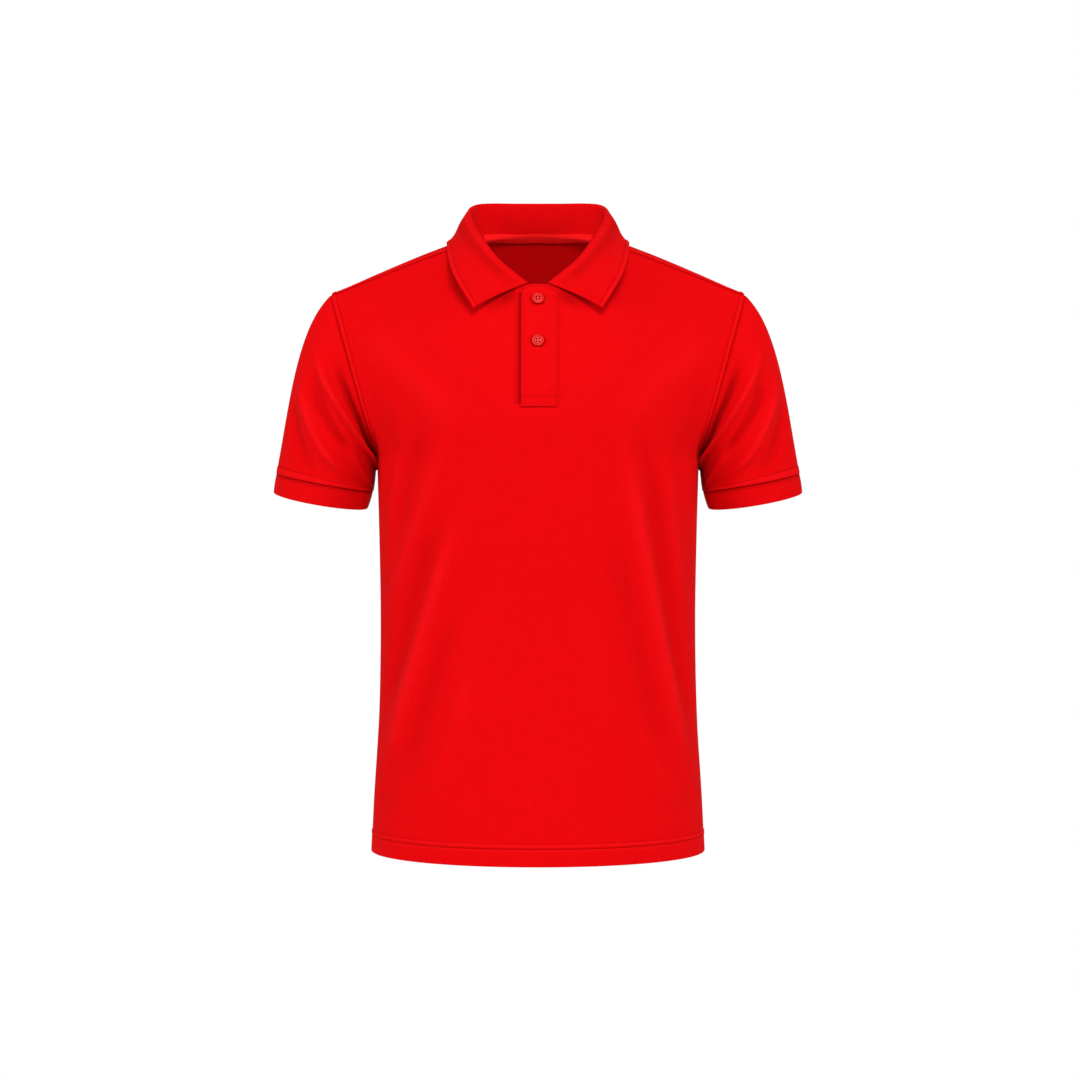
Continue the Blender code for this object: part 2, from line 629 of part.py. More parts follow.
class Collar:
    """Collar as stations along the neck seam: stand, fold and leaf, on the under side."""

    def __init__(self, front, back):
        seam, into, out = neck_seam(front, back)
        walked = with_lengths(seam)[:, 0]
        centre = walked[len(walked) // 2]
        self.share = np.where(walked <= centre, walked / centre, (1 - walked) / (1 - centre))
        self.sign = np.where(np.arange(len(walked)) <= len(walked) // 2, -1.0, 1.0)
        self.stretch(seam)
        outward = grid_normals(self.grid)
        back_centre = len(seam) // 2
        outward *= 1.0 if outward[1, back_centre] @ np.array([0, -1, 0]) > 0 else -1.0
        along_out, panel, stand = seam_frame(seam, into, self.grid[1] - self.grid[0],
                                             out, -outward[0])
        self.stretch(seam + stand * SEAM_GAP / 2)
        self.outward = outward
        self.outward[0] = -along_out
        self.settle_panels(front, back, along_out, panel)

    def stretch(self, seam):
        """Cross-sections from the seam over the fold to the leaf's edge."""
        columns = []
        for share, sign, start in zip(self.share, self.sign, seam):
            row = between(COLLAR_SECTIONS, share)
            fold, edge = row[:3] * (sign, 1, 1), row[3:6] * (sign, 1, 1)
            rise, fall = unit(fold - start), unit(edge - fold)
            stand_side = unit(-(fall - rise * (fall @ rise)))
            leaf_side = unit(rise - fall * (rise @ fall))
            angle = math.acos(float(np.clip(stand_side @ leaf_side, -1.0, 1.0)))
            turns = np.linspace(0.0, 1.0, FOLD_STEPS + 1)[:, None]
            roll = (np.sin((1 - turns) * angle) * stand_side + np.sin(turns * angle) * leaf_side
                    ) / math.sin(angle)
            roll = fold + roll * FOLD_RADIUS
            stand = start + (roll[0] - start) * np.linspace(0.0, 1.0, STAND_STEPS + 1)[:-1, None]
            down = np.linspace(0.0, 1.0, LEAF_STEPS + 1)[1:, None]
            leaf = roll[-1] + (edge - roll[-1]) * down + leaf_side * LEAF_BOW * np.sin(np.pi * down)
            columns.append(np.concatenate([stand, roll, leaf]))
        self.grid = np.array(columns).transpose(1, 0, 2)

    def settle_panels(self, front, back, outward, panel):
        """Pull the panels' neck edges back from the stand."""
        half = len(outward) // 2
        for sign, order in ((-1, slice(1, half)), (1, slice(-2, half, -1))):
            front_rows, back_rows, start = neck_half(front, back, sign)[:3]
            count = len(front_rows)
            front.place(front_rows, start[0], outward[order][:count], panel[order][:count])
            back.place(back_rows, start[1], outward[order][count:], panel[order][count:])
            back.place(-1, start[1], outward[order][count - 1], panel[order][count - 1])
        back.place(back.neck_row, back.middle, outward[half], panel[half])


def tape_grid(panel):
    """Tape over the back neck seam, lying on the inside of the back panel."""
    levels = np.linspace(*TAPE_LEVELS, 261)
    facets = BVHTree.FromPolygons([tuple(vertex.co) for vertex in panel.data.vertices],
                                  [tuple(face.vertices) for face in panel.data.polygons])
    columns = []
    for x in np.linspace(-TAPE_HALF_LENGTH, TAPE_HALF_LENGTH, TAPE_COLUMNS):
        line = np.array([row_at(BACK, level, [abs(x)])[0] for level in levels])
        in_panel = abs(x) >= back_neck_width(line[:, 1])
        neck = int(np.argmin(in_panel)) - 1
        line = line[neck::-1]
        walked = np.concatenate([[0.0], np.cumsum(np.linalg.norm(np.diff(line, axis=0), axis=1))])
        lean = abs(x) / NECK_HALF_WIDTH
        slope = BACK_NECK_REACH / NECK_HALF_WIDTH * lean ** (BACK_NECK_FULLNESS - 1) / max(
            1 - lean ** BACK_NECK_FULLNESS, 0.05) ** (1 - 1 / BACK_NECK_FULLNESS)
        stops = np.linspace(TAPE_START, TAPE_START + TAPE_WIDTH, TAPE_ROWS) * math.hypot(1.0, slope)
        points = np.column_stack([np.interp(stops, walked, line[:, axis]) for axis in range(3)])
        points[:, 0] = x
        columns.append(points)
    grid = np.array(columns).transpose(1, 0, 2)
    outward = grid_normals(grid)
    for place in np.ndindex(grid.shape[:2]):
        start = (grid[place] - outward[place] * TAPE_WIDTH) * MM
        hit = facets.ray_cast(Vector(start), Vector(outward[place]))[0]
        grid[place] = np.array(hit) / MM
    return grid, outward


def front_strip(xs, bottom, tops):
    """Points of the front between two heights, a column for each x."""
    grid = np.zeros((STRIP_ROWS, len(xs), 3))
    for column, (x, top) in enumerate(zip(xs, tops)):
        levels = np.linspace(centre_level(FRONT, bottom), centre_level(FRONT, top), STRIP_ROWS)
        for row, level in enumerate(levels):
            grid[row, column] = row_at(FRONT, level, [abs(x)])[0]
            grid[row, column, 0] = x
    return grid, grid_normals(grid)


def strip_lift(x):
    """Height of the top strip's under side over the front, most at its free edge."""
    return np.interp(x, [STRIP_TOPS[0][0], STRIP_TOPS[-1][0]], [STRIP_LIFT_LEFT, STRIP_LIFT_RIGHT])


def add_plackets():
    """Under strip in the front's slot, and the top strip over it."""
    xs = np.linspace(SLOT_LEFT + SEAM_GAP, SLOT_RIGHT - SEAM_GAP, 6)
    grid, outward = front_strip(xs, SLOT_BOTTOM + SEAM_GAP,
                                np.full(len(xs), NECK_ROW_HEIGHT - SEAM_GAP))
    wall("placket_under", grid, outward, 0.0, PANEL_WALL, "cloth")
    xs, tops = np.array(STRIP_TOPS).T
    grid, outward = front_strip(xs, STRIP_BOTTOM, tops)
    lift = strip_lift(xs) + STRIP_STAND * np.maximum(grid[..., 2] - NECK_ROW_HEIGHT, 0.0)
    wall("placket_top", grid, outward, lift + STRIP_WALL, -lift, "cloth")


def add_button(name, height):
    """A dished button with four thread holes, lying on the top strip."""
    level = centre_level(FRONT, height)
    low, seat, high = (row_controls(FRONT, level + step)[0] for step in (-0.02, 0.0, 0.02))
    slope = unit(np.array(high) - np.array(low))
    outward = np.array([0.0, -slope[2], slope[1]])
    base = np.array(seat) + outward * (strip_lift(0.0) + STRIP_WALL + BUTTON_GAP)
    shell = bmesh.new()
    rings = []
    for radius, depth in BUTTON_PROFILE:
        ring = [shell.verts.new((math.cos(math.tau * turn / BUTTON_SIDES) * radius * MM,
                                 math.sin(math.tau * turn / BUTTON_SIDES) * radius * MM, depth * MM))
                for turn in range(BUTTON_SIDES)]
        rings.append(ring)
    for below, above in zip(rings, rings[1:]):
        for turn in range(BUTTON_SIDES):
            beside = (turn + 1) % BUTTON_SIDES
            shell.faces.new((below[turn], below[beside], above[beside], above[turn]))
    shell.faces.new(rings[0][::-1])
    shell.faces.new(rings[-1])
    bmesh.ops.recalc_face_normals(shell, faces=shell.faces)
    item = link(name, [], [], "button")
    shell.to_mesh(item.data)
    shell.free()
    item.data.shade_smooth()
    item.data.set_sharp_from_angle(angle=math.radians(35))
    turn = Vector((0, 0, 1)).rotation_difference(Vector(outward))
    item.matrix_world = Matrix.Translation(Vector(base * MM)) @ turn.to_matrix().to_4x4()
    cutter = bmesh.new()
    for across, up in ((-1, -1), (-1, 1), (1, -1), (1, 1)):
        spot = Matrix.Translation((across * HOLE_SPREAD * MM, up * HOLE_SPREAD * MM, BUTTON_THICK / 2 * MM))
        bmesh.ops.create_cone(cutter, cap_ends=True, segments=HOLE_SIDES, radius1=HOLE_RADIUS * MM,
                              radius2=HOLE_RADIUS * MM, depth=2 * BUTTON_THICK * MM, matrix=spot)
    holes = link(name + "_holes", [], [], "button")
    cutter.to_mesh(holes.data)
    cutter.free()
    holes.matrix_world = item.matrix_world
    holes.hide_render = True
    holes.display_type = "WIRE"
    cut = item.modifiers.new("thread holes", "BOOLEAN")
    cut.operation = "DIFFERENCE"
    cut.object = holes


def link(name, verts, faces, finish):
    """One named object with its own material."""
    mesh = bpy.data.meshes.new(name)
    mesh.from_pydata([tuple(point * MM) for point in verts], [], faces)
    item = bpy.data.objects.new(name, mesh)
    bpy.context.scene.collection.objects.link(item)
    material = bpy.data.materials.new(name + "_" + finish)
    material.use_nodes = True
    shader = material.node_tree.nodes["Principled BSDF"]
    shader.inputs["Base Color"].default_value = (*COLOURS[finish], 1.0)
    shader.inputs["Roughness"].default_value = ROUGHNESS[finish]
    mesh.materials.append(material)
    return item


def wall(name, grid, outward, outer, inner, finish, kept=None, closed=False):
    """Closed solid between grid + outward * outer and grid - outward * inner."""
    rows, columns = grid.shape[:2]
    outer = np.broadcast_to(outer, (rows, columns))[..., None]
    inner = np.broadcast_to(inner, (rows, columns))[..., None]
    points = np.stack([grid + outward * outer, grid - outward * inner]).reshape(-1, 3)
    half = rows * columns
    spans = columns if closed else columns - 1
    kept = np.ones((rows - 1, spans), bool) if kept is None else kept
    row, column = rows // 2, 1
    handed = np.cross(grid[row, column + 1] - grid[row, column],
                      grid[row + 1, column] - grid[row, column]) @ outward[row, column] > 0
    faces, edges = [], {}
    for row, column in zip(*np.nonzero(kept)):
        beside = (column + 1) % columns
        quad = [row * columns + column, row * columns + beside,
                (row + 1) * columns + beside, (row + 1) * columns + column]
        quad = quad if handed else quad[::-1]
        for three in ((quad[0], quad[1], quad[2]), (quad[0], quad[2], quad[3])):
            faces.append(three)
            faces.append(tuple(half + corner for corner in reversed(three)))
        for first, second in zip(quad, quad[1:] + quad[:1]):
            if (second, first) in edges:
                del edges[(second, first)]
            else:
                edges[(first, second)] = True
    for first, second in edges:
        faces.append((second, first, half + first))
        faces.append((second, half + first, half + second))
    used = sorted({corner for face in faces for corner in face})
    index = {corner: place for place, corner in enumerate(used)}
    item = link(name, points[used], [tuple(index[c] for c in face) for face in faces], finish)
    item.data.shade_smooth()
    item.data.set_sharp_from_angle(angle=math.radians(40))
    return item


def main():
    """Make every piece."""
    for item in list(bpy.data.objects):
        bpy.data.objects.remove(item)
    front = Panel(FRONT, (-SLOT_LEFT, SLOT_RIGHT), CENTRE_COLUMNS, FRONT_FOLDS)
    back = Panel(BACK, (BACK_CENTRE, BACK_CENTRE), 1, BACK_FOLDS)
    join_sides(front, back)
    join_shoulders(front, back)
    sleeves = {"right": Sleeve(-1, front, back), "left": Sleeve(1, front, back)}
    collar = Collar(front, back)
    for name, panel in (("front_panel", front), ("back_panel", back)):
        wall(name, panel.grid + panel.shift, panel.outward, panel.raised(), PANEL_WALL, "cloth",
             kept=panel.kept())
    for name, sleeve in sleeves.items():
        wall("sleeve_" + name, sleeve.grid, sleeve.outward, sleeve.raised(), PANEL_WALL, "cloth",
             closed=True)
        grid, outward = sleeve.cuff()
        wall("cuff_" + name, grid, outward, 0.0, RIB_WALL, "rib", closed=True)
    wall("collar", collar.grid, collar.outward, RIB_WALL, 0.0, "rib")
    grid, outward = tape_grid(bpy.data.objects["back_panel"])
    wall("neck_tape", grid, outward, -TAPE_GAP, TAPE_GAP + TAPE_WALL, "rib")
    add_plackets()
    for name, height in BUTTON_HEIGHTS.items():
        add_button(name, height)


if __name__ == "__main__":
    main()
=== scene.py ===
import json
import math
import bmesh
import bpy
import numpy as np
from mathutils import Matrix, Vector
from mathutils.bvhtree import BVHTree

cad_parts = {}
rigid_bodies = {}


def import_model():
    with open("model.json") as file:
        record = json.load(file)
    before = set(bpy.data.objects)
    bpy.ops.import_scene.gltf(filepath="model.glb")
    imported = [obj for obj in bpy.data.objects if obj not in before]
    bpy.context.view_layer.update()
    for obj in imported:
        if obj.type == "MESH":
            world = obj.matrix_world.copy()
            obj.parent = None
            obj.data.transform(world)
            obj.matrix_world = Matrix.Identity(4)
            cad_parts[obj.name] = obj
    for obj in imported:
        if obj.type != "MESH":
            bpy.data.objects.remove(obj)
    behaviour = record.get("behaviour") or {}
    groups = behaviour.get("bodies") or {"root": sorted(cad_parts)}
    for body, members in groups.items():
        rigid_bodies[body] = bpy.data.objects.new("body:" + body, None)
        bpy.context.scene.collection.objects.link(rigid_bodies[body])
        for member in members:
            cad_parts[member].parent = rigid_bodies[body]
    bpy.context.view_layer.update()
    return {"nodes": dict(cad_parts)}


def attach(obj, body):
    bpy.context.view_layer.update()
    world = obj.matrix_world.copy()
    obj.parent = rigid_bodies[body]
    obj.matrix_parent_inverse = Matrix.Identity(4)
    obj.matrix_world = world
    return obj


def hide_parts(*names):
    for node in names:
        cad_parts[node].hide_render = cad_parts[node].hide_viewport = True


for item in list(bpy.data.objects):  # the start-up scene's own
    bpy.data.objects.remove(item)
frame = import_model()
mm = 0.001
front, back = -1, 1
print("frame loaded,", len(frame["nodes"]), "solids")


# Curves and surfaces. Lengths are in millimetres until a mesh is made.

def unit(vectors):
    length = np.linalg.norm(vectors, axis=-1, keepdims=True)
    return vectors / np.maximum(length, 1e-9)


def smooth(value):  # 0 to 1 with soft ends
    value = np.clip(value, 0.0, 1.0)
    return value * value * (3 - 2 * value)


def between(rows, key):  # smooth curve through a table's rows, by its first column
    rows = np.asarray(rows, float)
    keys, values = rows[:, 0], rows[:, 1:]
    steps = np.diff(keys)[:, None]
    rates = np.diff(values, axis=0) / steps
    slopes = np.vstack([rates[:1], (rates[1:] * steps[:-1] + rates[:-1] * steps[1:])
                        / (steps[1:] + steps[:-1]), rates[-1:]])
    at = int(np.clip(np.searchsorted(keys, key, side="right") - 1, 0, len(keys) - 2))
    width = keys[at + 1] - keys[at]
    t = (key - keys[at]) / width
    return (values[at] * (1 + 2 * t) * (1 - t) ** 2 + values[at + 1] * t * t * (3 - 2 * t)
            + width * (slopes[at] * t * (1 - t) ** 2 - slopes[at + 1] * t * t * (1 - t)))


def walk(points):  # distance along a line of points
    return np.concatenate([[0.0], np.cumsum(np.linalg.norm(np.diff(points, axis=0), axis=1))])


def withShares(points):
    points = np.asarray(points, float)
    walked = walk(points)
    return np.column_stack([walked / walked[-1], points])


def spread(stops, walked, line):  # points of a line at the distances stops
    return np.column_stack([np.interp(stops, walked, line[:, axis]) for axis in range(3)])


def bezier(controls, t):
    t = np.asarray(t, float)[:, None]
    first, second, third, last = (np.asarray(point, float) for point in controls)
    return (first * (1 - t) ** 3 + 3 * second * t * (1 - t) ** 2
            + 3 * third * t * t * (1 - t) + last * t ** 3)


def gridNormals(points, closed=False):  # averaged from the faces, so narrow cells don't disturb them
    grid = np.concatenate([points, points[:, :1]], axis=1) if closed else points
    faces = np.cross(grid[1:, 1:] - grid[:-1, :-1], grid[1:, :-1] - grid[:-1, 1:])
    total = np.zeros_like(grid)
    for rowShift in (0, 1):
        for columnShift in (0, 1):
            total[rowShift:rowShift + faces.shape[0], columnShift:columnShift + faces.shape[1]] += faces
    if closed:
        total[:, 0] += total[:, -1]
        total = total[:, :-1]
    return unit(total)


def bell(value, centre, half):  # 1 at the centre, softly down to 0 on both sides
    return np.exp(-((value - centre) / half) ** 2)


def dome(distance, width, rise):  # a padded band between an edge and its stitch line
    across = np.clip(distance / width, 0.0, 1.0)
    return rise * np.sqrt(np.maximum(1 - (2 * across - 1) ** 4, 0.0))


def groove(distance, place, depth, half=0.75):  # where stitches pull the cloth in
    return -depth * bell(distance, place, half)


def rounded(distance, edge=0.9):  # how thin a free edge gets near its end
    return 0.5 + 0.5 * np.sqrt(1 - (1 - np.clip(distance / edge, 0.0, 1.0)) ** 2)


def sideDistance(grid):  # from each point to the nearer end of its row
    return np.minimum(*(np.linalg.norm(grid - grid[:, side][:, None], axis=-1) for side in (0, -1)))


def rowDistance(grid, row):  # from each point to its column's point in one row
    return np.linalg.norm(grid - grid[row], axis=-1)


# ends shapes each fold's lift; the other values set how much painted shade and painted highlight the folds
# get
folding = {"ends": 1.7, "hollowDepth": 5.0, "ridgeHeight": 6.0, "most": 1.2, "ridgePower": 1.5}


def foldLift(folds, x, y):  # how far a table of folds lifts the cloth at each place
    lift = 0.0
    for startX, startY, endX, endY, rise, halfWidth, bow in folds:
        alongX, alongY = endX - startX, endY - startY
        length = math.hypot(alongX, alongY)
        share = ((x - startX) * alongX + (y - startY) * alongY) / length ** 2
        aside = ((x - startX) * alongY - (y - startY) * alongX) / length
        aside = aside - bow * 4 * share * (1 - share)
        ends = smooth(folding["ends"] * (1 - np.abs(2 * share - 1)))
        lift = lift + rise * (ends * bell(aside, 0.0, halfWidth))
    return lift


def foldShade(lift, hollow, ridge):  # painted highlight on the fold ridges and painted shade in the troughs
    deep = np.clip(-lift / folding["hollowDepth"], 0.0, folding["most"])
    high = np.clip(lift / folding["ridgeHeight"], 0.0, folding["most"])
    return hollow * deep - ridge * high ** folding["ridgePower"]


seams = {"gap": -0.02, "creasePull": 0.3, "sink": 0.35, "sinkWidth": 1.2}  # a gap under 0 is an overlap


def seamFrame(seam, intoOne, intoOther, outOne, outOther):
    # the outward direction both pieces share, and each piece's way off the seam
    along = unit(np.gradient(seam, axis=0))
    outward = outOne + outOther + (unit(intoOne) + unit(intoOther)) * seams["creasePull"]
    outward = unit(outward - along * np.sum(outward * along, axis=-1, keepdims=True))
    sideways = np.cross(along, outward)
    one, other = (sideways * np.sign(np.sum(sideways * into, axis=-1, keepdims=True))
                  for into in (intoOne, intoOther))
    return outward, unit(one), unit(other)


# Meshes and objects.

def addObject(name, data):
    item = bpy.data.objects.new(name, data)
    bpy.context.scene.collection.objects.link(item)
    return item


def meshFrom(name, shape):
    mesh = bpy.data.meshes.new(name)
    shape.to_mesh(mesh)
    shape.free()
    return mesh


def baked(item):  # the mesh with its modifiers applied; the object itself goes
    graph = bpy.context.evaluated_depsgraph_get()
    mesh = bpy.data.meshes.new_from_object(item.evaluated_get(graph), depsgraph=graph)
    bpy.data.objects.remove(item)
    return mesh


def cloth(name, grid, outward, outer, inner, material, crease=0.0, kept=None, closed=False,
          start=(0.0, 0.0)):
    # turns a grid of points into a closed piece of cloth with UVs in metres and a point attribute of painted
    # shade and painted highlight
    rows, columns = grid.shape[:2]
    outer, inner = (np.broadcast_to(wall, (rows, columns))[..., None] for wall in (outer, inner))
    points = np.stack([grid + outward * outer, grid - outward * inner]).reshape(-1, 3) * mm
    loop = np.concatenate([grid, grid[:, :1]], axis=1) if closed else grid
    u, v = walk(loop[rows // 2]), walk(grid[:, columns // 2])
    half = rows * columns
    spans = columns if closed else columns - 1
    kept = np.ones((rows - 1, spans), bool) if kept is None else kept
    row, column = rows // 2, columns // 3
    handed = np.cross(grid[row, column + 1] - grid[row, column],
                      grid[row + 1, column] - grid[row, column]) @ outward[row, column] > 0
    faces, uvs, edges = [], [], {}
    for row, column in zip(*(index.tolist() for index in np.nonzero(kept))):
        beside = (column + 1) % columns
        quad = [row * columns + column, row * columns + beside,
                (row + 1) * columns + beside, (row + 1) * columns + column]
        place = [(u[column], v[row]), (u[column + 1], v[row]),
                 (u[column + 1], v[row + 1]), (u[column], v[row + 1])]
        if not handed:
            quad, place = quad[::-1], place[::-1]
        faces += [quad, [half + corner for corner in reversed(quad)]]
        uvs += place + place[::-1]
        for corner in range(4):
            first, second = quad[corner], quad[(corner + 1) % 4]
            if (second, first) in edges:
                del edges[(second, first)]
            else:
                edges[(first, second)] = (place[corner], place[(corner + 1) % 4])
    for (first, second), (placeFirst, placeSecond) in edges.items():
        faces.append([second, first, half + first, half + second])
        uvs += [placeSecond, placeFirst, placeFirst, placeSecond]
    used = np.unique(np.array(faces))
    renumber = np.zeros(len(points), int)
    renumber[used] = np.arange(len(used))
    mesh = bpy.data.meshes.new(name)
    mesh.from_pydata(points[used].tolist(), [], renumber[np.array(faces)].tolist())
    layer = mesh.uv_layers.new(name="clothMetres")
    layer.data.foreach_set("uv", ((np.array(uvs) + start) * mm).ravel())
    # painted shade (above 0) and painted highlight (below 0) for each point of the outer face
    dyeWithPaintedLight = np.concatenate([np.broadcast_to(crease, (rows, columns)).ravel(), np.zeros(half)])[used]
    mesh.attributes.new("crease", "FLOAT", "POINT").data.foreach_set("value", np.clip(dyeWithPaintedLight, -1.0, 1.0))
    mesh.shade_smooth()
    mesh.set_sharp_from_angle(angle=math.radians(60))
    mesh.materials.append(material)
    return addObject(name, mesh)


made = {}


def finish(item, node=None):  # node is the solid that the piece stands for
    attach(item, "root")
    if node:
        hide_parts(node)
    made[item.name] = item


# Materials. Lengths are in millimetres. A pitch is one whole wave, which makes two cells of pique.

redSheen = {"Sheen Weight": 0.03, "Sheen Tint": (1.0, 0.12, 0.1, 1.0), "Specular IOR Level": 0.03}
threadDye = {"spots": 300.0, "uneven": 0.06}
fabrics = {  # spots is the scale of the dye's unevenness
    "pique": {"colour": (0.62, 0.0009, 0.0022), "spots": 110.0, "uneven": 0.025,
              "pitch": 2.3, "depth": 0.16, "bump": 0.7, "wobble": 0.6, "wobbleScale": 260.0,
              "grain": 0.55, "grainScale": 1400.0,
              "shader": {"Roughness": 0.86, "Sheen Roughness": 0.45, **redSheen}},
    "rib": {"colour": (0.61, 0.0009, 0.0022), "spots": 70.0, "uneven": 0.04,
            "pitch": 1.5, "depth": 0.22, "bump": 0.5, "loopPitch": 1.1, "loops": 0.05,
            "shader": {"Roughness": 0.84, "Sheen Roughness": 0.4, **redSheen}},
    # tape: its red is set far lighter than the knit's, partly a painted highlight that makes up for the shade
    # inside the neck
    "tape": {"colour": (0.97, 0.005, 0.006), "spots": 90.0, "uneven": 0.04,
             "pitch": 1.0, "depth": 0.12, "bump": 0.5,
             "shader": {"Roughness": 0.85, "Specular IOR Level": 0.15}},
    "thread": {"colour": (0.82, 0.006, 0.006), **threadDye,
               "shader": {"Roughness": 0.6, "Specular IOR Level": 0.05}},
    # light: the button thread, lighter than the cloth; its lighter colour is partly a painted highlight on
    # the thread cross
    "light": {"colour": (0.74, 0.07, 0.045), **threadDye,
              "shader": {"Roughness": 0.6, "Specular IOR Level": 0.05}},
    # slit: a dark colour, painted shade for buttonhole slits and the button holes
    "slit": {"colour": (0.1, 0.001, 0.001), **threadDye,
             "shader": {"Roughness": 0.9, "Specular IOR Level": 0.05}},
    "button": {"colour": (0.66, 0.011, 0.009), "spots": 220.0, "uneven": 0.08,
               "depth": 0.03, "bump": 0.08, "grainScale": 900.0,
               "shader": {"Roughness": 0.42, "Specular IOR Level": 0.25}},
}
paintedShadeFactors = {"deep": (0.52, 0.25, 0.25, 1.0), "high": (1.16, 4.2, 2.9, 1.0)}  # painted shade in creases and painted highlight on ridges, as factors on the dye


def addNode(tree, kind, values=None, **settings):
    item = tree.nodes.new(kind)
    item.location = (200 * len(tree.nodes) - 2400, -300)
    for key, value in settings.items():
        setattr(item, key, value)
    for socket, value in (values or {}).items():
        item.inputs[socket].default_value = value
    return item


def wire(tree, *links):
    for output, socket in links:
        tree.links.new(output, socket)


def mathNode(tree, operation, *inputs, kind="ShaderNodeMath"):  # inputs are outputs of nodes, or values
    item = addNode(tree, kind, operation=operation)
    for socket, value in zip(item.inputs, inputs):
        if isinstance(value, bpy.types.NodeSocket):
            tree.links.new(value, socket)
        else:
            socket.default_value = value
    return item.outputs[0]


def noise(tree, coordinates, scale, detail, roughness=0.5, output="Fac"):
    item = addNode(tree, "ShaderNodeTexNoise", {"Scale": scale, "Detail": detail, "Roughness": roughness})
    tree.links.new(coordinates, item.inputs["Vector"])
    return item.outputs[output]


def wave(tree, source, pitch):  # sine of a coordinate in metres, its pitch in millimetres
    return mathNode(tree, "SINE", mathNode(tree, "MULTIPLY", source, math.tau / (pitch * mm)))


def multiplied(tree, share, colour, factor):
    item = addNode(tree, "ShaderNodeMix", {7: factor}, data_type="RGBA", blend_type="MULTIPLY")
    wire(tree, (share, item.inputs[0]), (colour, item.inputs[6]))
    return item.outputs[2]


def newMaterial(name, colour, sockets):
    material = bpy.data.materials.new(name)
    material.use_nodes = True
    shader = material.node_tree.nodes["Principled BSDF"]
    shader.inputs["Base Color"].default_value = (*colour, 1.0)
    for socket, value in sockets.items():
        shader.inputs[socket].default_value = value
    return material, material.node_tree, shader


def clothUv(tree):
    return addNode(tree, "ShaderNodeUVMap", uv_map="clothMetres").outputs["UV"]


def split(tree, vector):
    item = addNode(tree, "ShaderNodeSeparateXYZ")
    tree.links.new(vector, item.inputs[0])
    return item.outputs["X"], item.outputs["Y"]


def piqueHeight(tree, values, place):  # small cells, slightly bent, with a fine grain
    uv, vector = clothUv(tree), "ShaderNodeVectorMath"
    wobble = noise(tree, uv, values["wobbleScale"], 2.0, output="Color")
    shift = mathNode(tree, "SUBTRACT", wobble, (0.5, 0.5, 0.5), kind=vector)
    bend = mathNode(tree, "MULTIPLY", shift, (values["wobble"] * mm,) * 3, kind=vector)
    across, along = split(tree, mathNode(tree, "ADD", uv, bend, kind=vector))
    waves = (wave(tree, across, values["pitch"]), wave(tree, along, values["pitch"]))
    cells = mathNode(tree, "ABSOLUTE", mathNode(tree, "MULTIPLY", *waves))
    grain = noise(tree, place, values["grainScale"], 3.0)
    return mathNode(tree, "MULTIPLY_ADD", grain, values["grain"], cells)


def ribHeight(tree, values, place):  # ribs with faint rows of loops across them
    across, along = split(tree, clothUv(tree))
    loops = mathNode(tree, "MULTIPLY", wave(tree, along, values["loopPitch"]), values["loops"])
    return mathNode(tree, "ADD", wave(tree, across, values["pitch"]), loops)


def twillHeight(tree, values, place):  # slanting lines
    return wave(tree, mathNode(tree, "ADD", *split(tree, clothUv(tree))), values["pitch"])


def grainHeight(tree, values, place):
    return noise(tree, place, values["grainScale"], 4.0)


def dyed(name, values, height=None):
    # uneven dye between two near shades, with painted shade in seams and hollows and a painted highlight on
    # ridges
    material, tree, shader = newMaterial(name, values["colour"], values["shader"])
    place = addNode(tree, "ShaderNodeTexCoord").outputs["Object"]
    ramp = addNode(tree, "ShaderNodeValToRGB")
    for stop, position, side in zip(ramp.color_ramp.elements, (0.3, 0.7), (-1, 1)):
        stop.position = position
        stop.color = (*(min(part * (1 + side * values["uneven"]), 1.0) for part in values["colour"]), 1.0)
    crease = addNode(tree, "ShaderNodeAttribute", attribute_name="crease").outputs["Fac"]
    # painted shade where the shading number is above 0, painted highlight where it is below 0
    deep = multiplied(tree, crease, ramp.outputs["Color"], paintedShadeFactors["deep"])
    dyeWithPaintedLight = multiplied(tree, mathNode(tree, "MULTIPLY", crease, -1.0), deep, paintedShadeFactors["high"])
    spots = noise(tree, place, values["spots"], 5.0, roughness=0.62)
    wire(tree, (spots, ramp.inputs["Fac"]), (dyeWithPaintedLight, shader.inputs["Base Color"]))
    if height:
        bump = addNode(tree, "ShaderNodeBump", {"Strength": values["bump"], "Distance": values["depth"] * mm})
        wire(tree, (height(tree, values, place), bump.inputs["Height"]),
             (bump.outputs["Normal"], shader.inputs["Normal"]))
    return material


pique = dyed("piqueKnit", fabrics["pique"], piqueHeight)
rib = dyed("ribKnit", fabrics["rib"], ribHeight)
twill = dyed("twillTape", fabrics["tape"], twillHeight)
thread = dyed("sewingThread", fabrics["thread"])
highlightedThread = dyed("buttonThread", fabrics["light"])
slitShade = dyed("slitShade", fabrics["slit"])
buttonShell = dyed("dyedButton", fabrics["button"], grainHeight)
print("materials made")


# Front and back panels: rows of curves from the centre line to the side seam and armhole.

